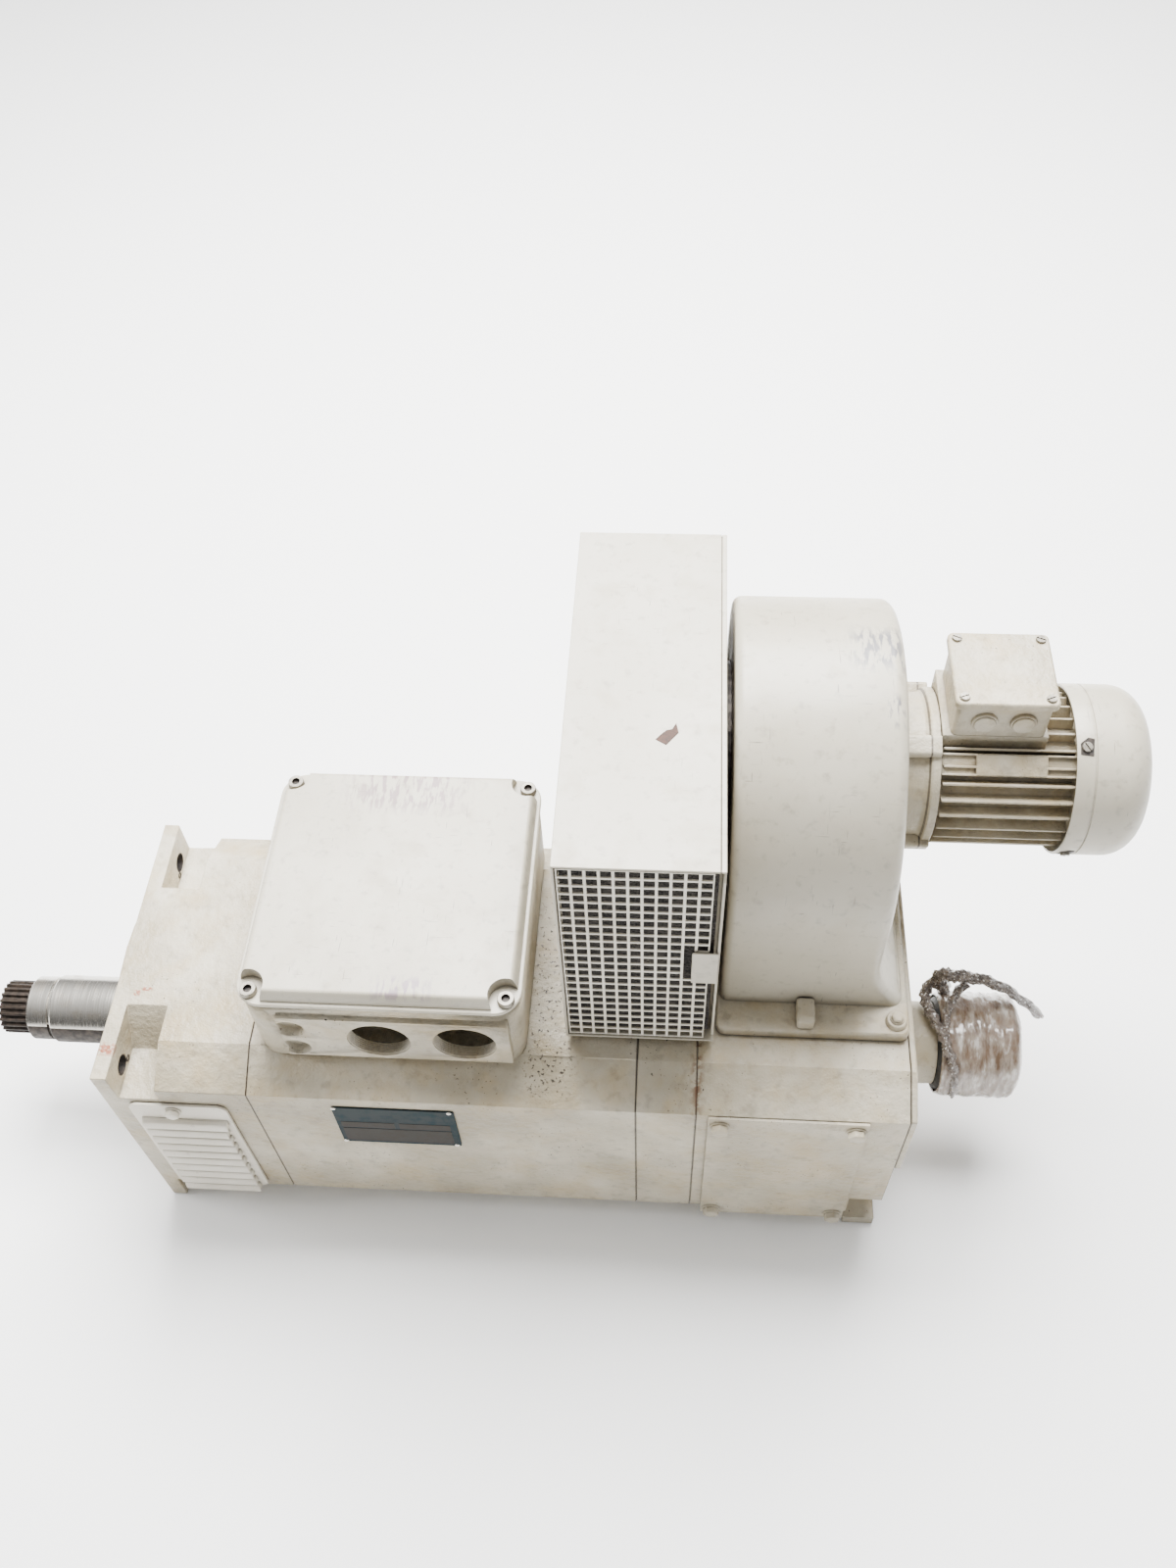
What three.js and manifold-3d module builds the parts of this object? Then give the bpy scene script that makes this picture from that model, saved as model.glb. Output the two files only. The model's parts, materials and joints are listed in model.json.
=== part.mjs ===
// Force-ventilated square-frame DC motor with a top-mounted radial blower, an air
// filter box, a cast terminal box, a splined output shaft and a film-wrapped encoder.
// Millimetres, +Z up. While it is built, X = 0 is the mounting face of the flange,
// +X runs to the brush end, and the main shaft lies on the X axis.

import * as THREE from 'three';
import { mergeVertices } from 'three/addons/utils/BufferGeometryUtils.js';
import Module from 'manifold-3d';

const wasm = await Module();
wasm.setup();

// ---------------------------------------------------------------- driving dimensions

const GAP = 0.3; // between touching pieces
const RUN = 0.25; // radial running clearance, which also clears the flats of a turned piece
const ROUND = 32; // sides of a large round piece
const FINE = 16; // sides of a small round piece

// square motor frame
const HALF = 132; // half the frame's width and the shaft height
const TOP_FLAT = 94; // half width of the flat on top
const SIDE_TOP = 112; // where the upper chamfer meets the side
const SIDE_LOW = -94; // where the lower chamfer meets the side
const LOW_FLAT = 94; // half width of the underside
const SHIELD_END = 130; // drive-end shield to stator joint
const STATOR_END = 513; // stator to brush-end housing joint
const SEAM = 462; // where the stator's top pad ends and a seam runs round the frame
const FRAME_END = 690; // outer face of the brush-end housing

// mounting flange
const FLANGE = 14; // thickness
const SPIGOT_R = 125;
const SPIGOT = 5; // height of the register in front of the face
const BOLT = 106; // hole offset from the shaft along Y and along Z
const BOLT_R = 9.25;
const POCKET_END = 50; // how far back the bolt pockets reach

// output shaft
const SHAFT_TIP = -160;
const SPLINE_END = -131;
const SPLINE_R = 25.5;
const SPLINE_TEETH = 24;
const NECK_R = 30.5;
const GROOVE_X = -107;
const GROOVE_R = 29;
const SHAFT_R = 32.5;
const SEAT_R = 27.5; // bearing seats
const SHAFT_REAR = 708;
const ARMATURE_SLOTS = 12;

// main terminal box
const TBOX = { x: 254.5, y: 12, z: HALF + 2, wide: 232, deep: 232, high: 84, wall: 6, lid: 18, rim: 6 };
const LID_SCREW = 104; // screw offset from the box centre, along X and along Y
const ENTRY_Z = 41; // height of the two cable entries over the box bottom
const ENTRY_R = 26.5;
const ENTRY_X = [-3.5, 67.5];

// blower: its own axis, parallel to the main shaft
const BLOWER_Y = 120;
const BLOWER_Z = 272;
const SCROLL = { left: 531, right: 660, sheet: 3, outlet: 161, growth: 0.17 };
const PLATE = { left: 528, right: 690, front: -68, rear: 118, thick: 12 };
const IMPELLER_R = 98;
const BLADES = 16;
const MOTOR_NECK_R = 66;
const FIN_ROOT_R = 54;
const FIN_TIP_R = 65;
const FINS = 28;
const FIN_START = 699;
const FIN_END = 812;
const COWL = { start: 803, end: 868, r: 71.5, wall: 2.5, round: 30 };
const SMALL_BOX = { x: 742, y: 14, wide: 80, deep: 76, low: 66, lid: 8, top: 108 };
const PLUG_PLACES = [-14, 16]; // the two entries of the small terminal box, along X
const PLUG_HEIGHT = 84;

// filter box
const FILTER = { left: 402, right: 525, front: -80, rear: 258, low: 144, top: 401, sheet: 2 };
const GRILLE = { left: 405, right: 517, low: 148, top: 397, thick: 3, slots: 12 };
const CLIP = { left: 504, low: 246, top: 291, thick: 1.3 };
const MAT = { left: 406, right: 521, front: -73, rear: -60, low: 150, top: 395 };

// encoder under its stretch film
const ENCODER = { start: 736, end: 805, r: 43 };
const FILM = { start: 738, end: 812, inner: 44.5, r: 50 };

// ---------------------------------------------------------------- materials

function finish(color, roughness, metalness) {
  return new THREE.MeshStandardMaterial({ color, roughness, metalness });
}

const PAINT = finish('#d9d5ca', 0.55, 0.0);
const SHEET_PAINT = finish('#e3dfd4', 0.5, 0.0);
const LOUVRE_PAINT = finish('#efece3', 0.5, 0.0);
const BRIGHT_STEEL = finish('#c9c9c6', 0.22, 1.0);
const DARK_STEEL = finish('#3a3431', 0.45, 0.9);
const LAMINATION = finish('#6d6a66', 0.5, 0.8);
const COPPER = finish('#b8713f', 0.4, 0.9);
const CARBON = finish('#26252a', 0.7, 0.1);
const RUBBER = finish('#1f1f1f', 0.8, 0.0);
const RESIN = finish('#5b3a24', 0.6, 0.0);
const BLACK_PLASTIC = finish('#222426', 0.6, 0.0);
const NAMEPLATE = finish('#1d4a55', 0.35, 0.6);
const FILTER_FOAM = finish('#2c2a28', 0.95, 0.0);
const FILM_WRAP = finish('#b9a48c', 0.3, 0.0);

// ---------------------------------------------------------------- solids

// Joins a closed mesh's shared vertices and drops the slivers at a lathe's poles.
function solid(geometry) {
  geometry.deleteAttribute('normal');
  geometry.deleteAttribute('uv');
  const merged = mergeVertices(geometry, 1e-4);
  const index = merged.index.array;
  const kept = [];
  for (let i = 0; i < index.length; i += 3) {
    const [a, b, c] = [index[i], index[i + 1], index[i + 2]];
    if (a !== b && b !== c && c !== a) kept.push(a, b, c);
  }
  const vertProperties = new Float32Array(merged.attributes.position.array);
  const mesh = new wasm.Mesh({ numProp: 3, vertProperties, triVerts: new Uint32Array(kept) });
  return new wasm.Manifold(mesh);
}

function cut(body, ...tools) {
  return tools.reduce((rest, tool) => rest.subtract(tool), body);
}

function join(body, ...others) {
  return others.reduce((sum, other) => sum.add(other), body);
}

function box(x0, x1, y0, y1, z0, z1) {
  const block = new THREE.BoxGeometry(x1 - x0, y1 - y0, z1 - z0);
  block.translate((x0 + x1) / 2, (y0 + y1) / 2, (z0 + z1) / 2);
  return solid(block);
}

function extruded(outline, depth) {
  const shape = new THREE.Shape(outline.map(([u, v]) => new THREE.Vector2(u, v)));
  return new THREE.ExtrudeGeometry(shape, { depth, bevelEnabled: false, steps: 1 });
}

// A prism along X from an outline of [y, z] points.
function prismX(outline, x0, x1) {
  const prism = extruded(outline, x1 - x0);
  const turn = new THREE.Matrix4().makeBasis(
    new THREE.Vector3(0, 1, 0), new THREE.Vector3(0, 0, 1), new THREE.Vector3(1, 0, 0));
  prism.applyMatrix4(turn).translate(x0, 0, 0);
  return solid(prism);
}

// A prism along Z from an outline of [x, y] points.
function prismZ(outline, z0, z1) {
  return solid(extruded(outline, z1 - z0).translate(0, 0, z0));
}

function cylinder(radius, length, sides) {
  return new THREE.CylinderGeometry(radius, radius, length, sides);
}

// A prism along Y from an outline of [x, z] points.
function prismY(outline, y0, y1) {
  const prism = extruded(outline, y1 - y0).rotateX(Math.PI / 2);
  return solid(prism.translate(0, y1, 0));
}

function rodX(radius, x0, x1, y = 0, z = 0, sides = ROUND) {
  const rod = cylinder(radius, x1 - x0, sides).rotateZ(-Math.PI / 2);
  return solid(rod.translate((x0 + x1) / 2, y, z));
}

function rodY(radius, y0, y1, x, z, sides = FINE) {
  return solid(cylinder(radius, y1 - y0, sides).translate(x, (y0 + y1) / 2, z));
}

function rodZ(radius, z0, z1, x, y, sides = FINE) {
  const rod = cylinder(radius, z1 - z0, sides).rotateX(Math.PI / 2);
  return solid(rod.translate(x, y, (z0 + z1) / 2));
}

// Turns a closed profile of [x, radius] points about the X axis.
function turned(profile, sides = ROUND) {
  const area = profile.reduce((sum, [x, r], i) => {
    const [nextX, nextR] = profile[(i + 1) % profile.length];
    return sum + x * nextR - nextX * r;
  }, 0);
  const ordered = area > 0 ? [...profile].reverse() : [...profile];
  const points = [...ordered, ordered[0]].map(([x, r]) => new THREE.Vector2(r, x));
  return solid(new THREE.LatheGeometry(points, sides).rotateZ(-Math.PI / 2));
}

function ringX(outer, inner, x0, x1, sides = ROUND) {
  return turned([[x0, inner], [x1, inner], [x1, outer], [x0, outer]], sides);
}

// Outline points of an upright rectangle with round corners.
function roundedRectangle(x0, x1, y0, y1, radius, steps = 5) {
  const centres = [[x1, y1, 0], [x0, y1, 1], [x0, y0, 2], [x1, y0, 3]];
  return centres.flatMap(([x, y, quarter]) => {
    const cx = x === x1 ? x1 - radius : x0 + radius;
    const cy = y === y1 ? y1 - radius : y0 + radius;
    return Array.from({ length: steps + 1 }, (_, i) => {
      const angle = (quarter + i / steps) * Math.PI / 2;
      return [cx + radius * Math.cos(angle), cy + radius * Math.sin(angle)];
    });
  });
}

function circlePoints(radius, count, from = 0) {
  return Array.from({ length: count }, (_, i) => {
    const angle = from + i / count * 2 * Math.PI;
    return [radius * Math.cos(angle), radius * Math.sin(angle), angle];
  });
}

const machine = new THREE.Group();

function piece(group, name, body, material) {
  const { numProp, vertProperties, triVerts } = body.getMesh();
  const geometry = new THREE.BufferGeometry();
  geometry.setAttribute('position', new THREE.BufferAttribute(vertProperties, numProp));
  geometry.setIndex(new THREE.BufferAttribute(triVerts, 1));
  geometry.computeVertexNormals();
  const mesh = new THREE.Mesh(geometry, material);
  mesh.name = name;
  group.add(mesh);
  return mesh;
}

// ---------------------------------------------------------------- main motor casing

const motor = new THREE.Group();
machine.add(motor);

const FRAME_OUTLINE = [
  [-LOW_FLAT, -HALF], [LOW_FLAT, -HALF], [HALF, SIDE_LOW], [HALF, SIDE_TOP],
  [TOP_FLAT, HALF], [-TOP_FLAT, HALF], [-HALF, SIDE_TOP], [-HALF, SIDE_LOW],
];

// Cut-outs behind the flange that let a spanner reach the four mounting bolts.
function boltPocket(side, level) {
  const wall = 60;
  const foot = 84;
  const floor = 94;
  const far = HALF + 10;
  const outline = [[wall, far], [wall, HALF], [foot, floor], [far, floor], [far, far]];
  const placed = outline.map(([y, z]) => [y * side, z * level]);
  const ordered = side * level > 0 ? placed.reverse() : placed;
  return prismX(ordered, FLANGE, POCKET_END);
}

function driveEndShield() {
  const plate = box(0, FLANGE, -HALF, HALF, -HALF, HALF);
  const body = prismX(FRAME_OUTLINE, FLANGE - 1, SHIELD_END);
  const spigot = rodX(SPIGOT_R, -SPIGOT, 1);
  const corners = [[1, 1], [-1, 1], [-1, -1], [1, -1]];
  const holes = corners.map(([y, z]) => rodX(BOLT_R, -1, FLANGE + 1, y * BOLT, z * BOLT, FINE));
  const pockets = corners.map(([y, z]) => boltPocket(y, z));
  const sealBore = rodX(45 + GAP, -SPIGOT - 1, 16);
  const bearingBore = rodX(60 + GAP, 14, 42);
  const windingRoom = rodX(98, 41, SHIELD_END + 1);
  const outlets = box(55, 98, -HALF - 1, HALF + 1, -60, 60);
  return cut(join(plate, body, spigot), ...holes, ...pockets,
    sealBore, bearingBore, windingRoom, outlets);
}

function louvreGrille(side) {
  const skin = side * (HALF + GAP);
  const outer = side * (HALF + 3);
  const proud = side * (HALF + 7);
  const y = [skin, outer].sort((a, b) => a - b);
  const slatY = [outer, proud].sort((a, b) => a - b);
  const plate = box(20, 107, y[0], y[1], -91, 90);
  const slats = Array.from({ length: 10 }, (_, i) => {
    const z = 62 - i * 16;
    return box(27, 99, slatY[0] - 1, slatY[1] + (side < 0 ? 1 : 0), z - 10, z);
  });
  const slots = Array.from({ length: 9 }, (_, i) => {
    const z = 49 - i * 16;
    return box(30, 96, slatY[0] - 6, slatY[1] + 6, z - 2, z + 2);
  });
  return cut(join(plate, ...slats), ...slots);
}

function statorFrame() {
  const body = prismX(FRAME_OUTLINE, SHIELD_END + GAP, STATOR_END);
  const pad = box(SHIELD_END + 10, SEAM, -TOP_FLAT, TOP_FLAT, HALF - 1, TBOX.z - GAP);
  const deep = (share) => FRAME_OUTLINE.map(([y, z]) => [y * share, z * share]);
  const seam = cut(
    prismX(deep(1.02), SEAM, SEAM + 1), prismX(deep(1 - 0.8 / HALF), SEAM - 1, SEAM + 2));
  const bore = rodX(113, SHIELD_END, STATOR_END + 1);
  const cableWay = box(200, 300, -40, 40, 90, TBOX.z + 1);
  return cut(join(body, pad), seam, bore, cableWay);
}

function mainPole(index) {
  const angle = index * Math.PI / 2 + Math.PI / 4;
  const shoe = cut(
    box(165, 475, -34, 34, 82, 92), rodX(84, 160, 480));
  const core = box(165, 475, -20, 20, 90, 109);
  const coil = box(150, 490, -38, 38, 93, 104);
  return join(coil, shoe, core).rotate([angle * 180 / Math.PI, 0, 0]);
}

function brushEndHousing() {
  const start = STATOR_END + GAP;
  const body = prismX(FRAME_OUTLINE, start, FRAME_END);
  const room = prismX(roundedRectangle(-110, 110, -108, 108, 40), start - 1, FRAME_END - 24);
  const bearingBore = rodX(45 + GAP, FRAME_END - 30, FRAME_END + 1);
  const windows = box(540, 640, -HALF - 1, HALF + 1, -70, 90);
  const airInlet = box(548, 662, -38, 58, 100, HALF + 1);
  const footRelief = [-1, 1].map((side) => {
    const y = [side * 100, side * (HALF + 1)].sort((a, b) => a - b);
    return box(660, FRAME_END + 1, y[0], y[1], -118, -62);
  });
  const feet = [-1, 1].map((side) => {
    const y = [side * 60, side * 129].sort((a, b) => a - b);
    return box(661, FRAME_END, y[0], y[1], -HALF, -118);
  });
  return join(cut(body, room, bearingBore, windows, airInlet, ...footRelief), ...feet);
}

const COVER_BOLTS = [[533, 98], [647, 98], [533, -93], [647, -93]];

function inspectionCover(side) {
  const y = [side * (HALF + GAP), side * (HALF + 3)].sort((a, b) => a - b);
  const plate = box(523, 657, y[0], y[1], -104, 111);
  const holes = COVER_BOLTS.map(([x, z]) => rodY(4, y[0] - 1, y[1] + 1, x, z, 12));
  return cut(plate, ...holes);
}

function hexBolt(x, z) {
  const under = -HALF - 3 - GAP;
  const head = rodY(7.5, under - 6, under, x, z, 6);
  return join(head, rodY(3.6, under - 1, -HALF - 0.5, x, z, 12));
}

function brushEndPlate() {
  const outline = [
    [-66, -124], [66, -124], [HALF - 1, 14], [HALF - 1, SIDE_TOP],
    [TOP_FLAT, HALF - 1], [-TOP_FLAT, HALF - 1], [-HALF + 1, SIDE_TOP], [-HALF + 1, 14],
  ];
  return cut(prismX(outline, FRAME_END + GAP, FRAME_END + 6), rodX(40, FRAME_END, FRAME_END + 7));
}

piece(motor, 'drive_end_shield', driveEndShield(), PAINT);
piece(motor, 'louvre_front', louvreGrille(-1), LOUVRE_PAINT);
piece(motor, 'louvre_rear', louvreGrille(1), LOUVRE_PAINT);
piece(motor, 'stator_frame', statorFrame(), PAINT);
piece(motor, 'brush_end_housing', brushEndHousing(), PAINT);
piece(motor, 'inspection_cover_front', inspectionCover(-1), PAINT);
piece(motor, 'inspection_cover_rear', inspectionCover(1), PAINT);
piece(motor, 'brush_end_plate', brushEndPlate(), PAINT);
COVER_BOLTS.forEach(([x, z], i) => piece(motor, `cover_bolt_${i + 1}`, hexBolt(x, z), PAINT));
for (let i = 0; i < 4; i += 1) piece(motor, `main_pole_${i + 1}`, mainPole(i), COPPER);

function nameplate() {
  return box(199, 307, -HALF - 1.8, -HALF - GAP, 24, 100);
}

piece(motor, 'nameplate', nameplate(), NAMEPLATE);

// ---------------------------------------------------------------- rotor and bearings

function splinedShaft() {
  const step = 2 * Math.PI / SPLINE_TEETH;
  const root = SPLINE_R - 2.6;
  const teeth = circlePoints(1, SPLINE_TEETH).flatMap(([, , angle]) => {
    const corners = [[root, -0.3], [SPLINE_R, -0.17], [SPLINE_R, 0.17], [root, 0.3]];
    return corners.map(([r, part]) => [
      r * Math.cos(angle + part * step), r * Math.sin(angle + part * step)]);
  });
  const spline = prismX(teeth, SHAFT_TIP, SPLINE_END + 1);
  const core = turned([
    [SPLINE_END, 0], [SPLINE_END, NECK_R], [GROOVE_X - 3, NECK_R], [GROOVE_X - 3, GROOVE_R],
    [GROOVE_X, GROOVE_R], [GROOVE_X, SHAFT_R], [17, SHAFT_R], [17, SEAT_R], [150, SEAT_R],
    [150, 36], [560, 36], [560, 20], [SHAFT_REAR, 20], [SHAFT_REAR, 0],
  ]);
  return join(spline, core);
}

function armature() {
  const slots = circlePoints(1, ARMATURE_SLOTS).map(([, , angle]) => {
    const slot = box(179, 461, -3, 3, 66, 80);
    return slot.rotate([angle * 180 / Math.PI, 0, 0]);
  });
  const core = cut(ringX(76, 36 + GAP, 180, 460), ...slots);
  return join(core, ringX(64, 36 + GAP, 155, 181), ringX(64, 36 + GAP, 459, 500));
}

function bearing(outer, inner, x0, x1) {
  const rim = (outer + inner) / 2;
  const groove = 3;
  return turned([
    [x0, inner], [x1, inner], [x1, rim - groove], [x1 - 2, rim], [x1, rim + groove],
    [x1, outer], [x0, outer],
  ]);
}

function brushRocker() {
  const ring = ringX(100, 84, 590, 602);
  const holders = [0, 1, 2, 3].map((i) => {
    const frame = cut(box(560, 596, -13, 13, 64, 92), box(565, 585, -8 - GAP, 8 + GAP, 60, 95));
    return frame.rotate([45 + i * 90, 0, 0]);
  });
  return join(ring, ...holders);
}

function carbonBrush(index) {
  return box(565 + GAP, 585 - GAP, -8, 8, 59, 90).rotate([45 + index * 90, 0, 0]);
}

function encoderCoupling() {
  return turned([
    [SHAFT_REAR + GAP, 0], [SHAFT_REAR + GAP, 16], [SHAFT_REAR + 20, 16],
    [SHAFT_REAR + 20, 6], [ENCODER.start + 30, 6], [ENCODER.start + 30, 0],
  ]);
}

const rotor = new THREE.Group();
machine.add(rotor);
piece(rotor, 'shaft', splinedShaft(), BRIGHT_STEEL);
piece(rotor, 'armature', armature(), LAMINATION);
piece(rotor, 'commutator', ringX(58, 36 + GAP, 505, 559), COPPER);
piece(rotor, 'encoder_coupling', encoderCoupling(), BRIGHT_STEEL);

piece(motor, 'shaft_seal', ringX(45, SHAFT_R + RUN, 3, 13), RUBBER);
piece(motor, 'drive_end_bearing', bearing(60, SEAT_R + RUN, 18, 41), BRIGHT_STEEL);
piece(motor, 'drive_end_bearing_cap', ringX(80, 34, 42, 50), DARK_STEEL);
piece(motor, 'brush_end_bearing', bearing(45, 20 + RUN, 664, 688), BRIGHT_STEEL);
piece(motor, 'brush_rocker', brushRocker(), RESIN);
for (let i = 0; i < 4; i += 1) piece(motor, `carbon_brush_${i + 1}`, carbonBrush(i), CARBON);

// ---------------------------------------------------------------- main terminal box

const terminals = new THREE.Group();
terminals.position.set(TBOX.x, TBOX.y, TBOX.z);
machine.add(terminals);

const BOX_HALF = { x: TBOX.wide / 2, y: TBOX.deep / 2 };
const SCREW_PLACES = [[-1, -1], [1, -1], [1, 1], [-1, 1]];

function boxOutline(inset, radius) {
  const { x, y } = BOX_HALF;
  return roundedRectangle(-x + inset, x - inset, -y + inset, y - inset, radius);
}

function cornerRods(radius, z0, z1, sides) {
  return SCREW_PLACES.map(([x, y]) => rodZ(radius, z0, z1, x * LID_SCREW, y * LID_SCREW, sides));
}

function terminalBox() {
  const { high, wall } = TBOX;
  const shell = prismZ(boxOutline(2, 20), 0, high);
  const room = cut(prismZ(boxOutline(2 + wall, 14), 5, high + 1), ...cornerRods(11, 4, high + 2, 12));
  const floorHole = rodZ(30, -1, 6, -4, -12);
  const front = -BOX_HALF.y;
  const pad = box(-84, 105, front - 3, front + 4, 10, 74);
  const entries = ENTRY_X.map((x) => rodY(ENTRY_R, front - 4, front + 12, x, ENTRY_Z, 24));
  const knockouts = [56, 24].map((z) => rodY(12.5, front - 4, front + 5, -75, z));
  const threads = cornerRods(3.5 + GAP, high - 25, high + 1, 8);
  return cut(join(cut(shell, room), pad), floorHole, ...entries, ...knockouts, ...threads);
}

function terminalLid() {
  const { high, lid, rim } = TBOX;
  const plate = prismZ(boxOutline(0, 22), high + 2 + GAP, high + rim);
  const crown = prismZ(boxOutline(4, 20), high + rim - 1, high + lid);
  const hollow = cut(prismZ(boxOutline(9, 14), high + 1, high + lid - 5),
    ...cornerRods(17, high, high + lid, 16));
  const notches = cornerRods(14, high + rim, high + lid + 1, 20);
  const holes = cornerRods(3.5 + GAP, high, high + lid, 8);
  return cut(join(plate, crown), hollow, ...notches, ...holes);
}

function terminalGasket() {
  const { high } = TBOX;
  const ring = prismZ(boxOutline(3, 19), high + GAP, high + 2);
  const middle = cut(prismZ(boxOutline(7, 15), high, high + 3), ...cornerRods(9, high - 1, high + 4, 12));
  return cut(ring, middle, ...cornerRods(3.5 + GAP, high - 1, high + 3, 8));
}

function terminalBoard() {
  const board = box(-70, 70, -10, 60, 5 + GAP, 17);
  const studs = [-50, -25, 0, 25, 50].map((x) => rodZ(4, 16, 38, x, 25, 12));
  const nuts = [-50, -25, 0, 25, 50].map((x) => rodZ(7.5, 16, 22, x, 25, 6));
  return join(board, ...studs, ...nuts);
}

function lidScrew(x, y) {
  const seat = TBOX.high + TBOX.rim + GAP;
  const head = rodZ(5.5, seat, seat + 5, x * LID_SCREW, y * LID_SCREW, 12);
  const shank = rodZ(3.5, seat - 20, seat + 1, x * LID_SCREW, y * LID_SCREW, 8);
  const socket = rodZ(2.8, seat + 2, seat + 6, x * LID_SCREW, y * LID_SCREW, 6);
  return cut(join(head, shank), socket);
}

piece(terminals, 'terminal_box', terminalBox(), PAINT);
piece(terminals, 'terminal_box_gasket', terminalGasket(), RUBBER);
piece(terminals, 'terminal_box_lid', terminalLid(), SHEET_PAINT);
piece(terminals, 'terminal_board', terminalBoard(), RESIN);
SCREW_PLACES.forEach(([x, y], i) => (
  piece(terminals, `lid_screw_${i + 1}`, lidScrew(x, y), BRIGHT_STEEL)));

// ---------------------------------------------------------------- blower

const blower = new THREE.Group();
blower.position.set(0, BLOWER_Y, BLOWER_Z);
machine.add(blower);

const SCROLL_LOW = HALF + PLATE.thick + 2 * GAP - BLOWER_Z; // underside of the scroll
const TONGUE_Y = -50; // rear wall of the scroll's outlet

// Volute outline: straight front wall, then a spiral that shrinks over the top and rear.
function volute(inset) {
  const { outlet, growth } = SCROLL;
  const steps = 28;
  const span = 280;
  const spiral = Array.from({ length: steps + 1 }, (_, i) => {
    const travel = i / steps * span;
    const radius = outlet - inset - growth * travel;
    const angle = (180 - travel) * Math.PI / 180;
    return [radius * Math.cos(angle), radius * Math.sin(angle)];
  });
  const low = SCROLL_LOW - (inset > 0 ? 1 : 0);
  return [[TONGUE_Y - inset, low], [-outlet + inset, low], ...spiral].reverse();
}

function scrollHousing() {
  const { left, right, sheet, outlet } = SCROLL;
  const shell = prismX(volute(0), left, right);
  const room = prismX(volute(sheet), left + sheet, right - sheet);
  const edge = PLATE.right - 4;
  const flare = prismY([
    [right - 1, SCROLL_LOW], [edge, SCROLL_LOW], [edge, SCROLL_LOW + 10],
    [right - 1, SCROLL_LOW + 62]], -outlet, TONGUE_Y);
  const flareRoom = prismY([
    [right - 4, SCROLL_LOW - 1], [edge - 4, SCROLL_LOW - 1], [edge - 4, SCROLL_LOW + 8],
    [right - 4, SCROLL_LOW + 52]], -outlet + sheet, TONGUE_Y - sheet);
  const inlet = rodX(66, left - 1, left + sheet + 1);
  const hubHole = rodX(30, right - sheet - 1, right + 1);
  return cut(join(shell, flare), room, flareRoom, inlet, hubHole);
}

function blowerBase() {
  const { left, right, front, rear, thick } = PLATE;
  const low = HALF + GAP - BLOWER_Z;
  const corners = [left, right, front - BLOWER_Y, rear - BLOWER_Y];
  const plate = prismZ(roundedRectangle(...corners, 8), low, low + thick);
  const duct = box(548, 662, -158, TONGUE_Y - 4, low - 1, low + thick + 1);
  const lugFront = front - BLOWER_Y + 3;
  const lug = box(595, 610, lugFront, -SCROLL.outlet - GAP, low + thick - 1, low + thick + 13);
  return cut(join(plate, lug), duct);
}

function inletRing() {
  const wall = FILTER.right + GAP;
  const face = SCROLL.left - GAP;
  return turned([
    [wall, 62], [wall, 84], [face, 84], [face, 65], [SCROLL.left + 9, 62], [SCROLL.left + 9, 59],
  ]);
}

function impeller() {
  const front = SCROLL.left + 12;
  const back = SCROLL.right - 14;
  const plate = rodX(IMPELLER_R, back - 2, back);
  const hub = rodX(22, back - 28, back);
  const shroud = ringX(IMPELLER_R, IMPELLER_R - 20, front, front + 2);
  const blades = circlePoints(1, BLADES).map(([, , angle]) => {
    const blade = box(front + 1, back - 1, -1, 1, IMPELLER_R - 20, IMPELLER_R - 1);
    return blade.rotate([-25, 0, 0]).translate([0, -36, 6]).rotate([angle * 180 / Math.PI, 0, 0]);
  });
  const bore = rodX(8 + GAP, back - 30, back + 1, 0, 0, FINE);
  return cut(join(plate, hub, shroud, ...blades), bore);
}

function motorFlange() {
  const start = SCROLL.right + GAP;
  const shell = turned([
    [start, 11], [start, 70], [start + 9, 70], [start + 14, MOTOR_NECK_R - 4],
    [FIN_START - 12, MOTOR_NECK_R - 4], [FIN_START - 7, MOTOR_NECK_R],
    [FIN_START - GAP, MOTOR_NECK_R], [FIN_START - GAP, 50], [start + 34, 46],
    [start + 34, 30], [start + 12, 30], [start + 12, 11],
  ]);
  const lugs = [25, 115, 205, 295].map((angle) => {
    const lug = box(start, FIN_START - GAP, -9, 9, 52, MOTOR_NECK_R + 4);
    return lug.rotate([angle, 0, 0]);
  });
  return join(shell, ...lugs);
}

function blowerMotorHousing() {
  const barrel = rodX(FIN_ROOT_R, FIN_START, FIN_END);
  const fins = circlePoints(1, FINS).map(([, , angle]) => {
    const fin = box(FIN_START, FIN_END - 6, -1.1, 1.1, FIN_ROOT_R - 2, FIN_TIP_R);
    return fin.rotate([angle * 180 / Math.PI, 0, 0]);
  });
  const boxSeat = box(FIN_START, 782, -21, 49, FIN_ROOT_R - 12, SMALL_BOX.low);
  const platePad = box(FIN_START, FIN_END - 6, -9, 9, 50, FIN_TIP_R).rotate([37, 0, 0]);
  const bore = rodX(47, FIN_START - 1, FIN_END - 10);
  const endBore = rodX(16 + GAP, FIN_END - 11, FIN_END + 1, 0, 0, FINE);
  return cut(join(barrel, ...fins, boxSeat, platePad), bore, endBore);
}

function blowerRotor() {
  return turned([
    [SCROLL.right - 44, 0], [SCROLL.right - 44, 8], [SCROLL.right - 10, 8],
    [SCROLL.right - 10, 10], [725, 10], [725, 28], [795, 28], [795, 9], [FIN_END + 32, 9],
    [FIN_END + 32, 0],
  ], FINE);
}

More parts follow.
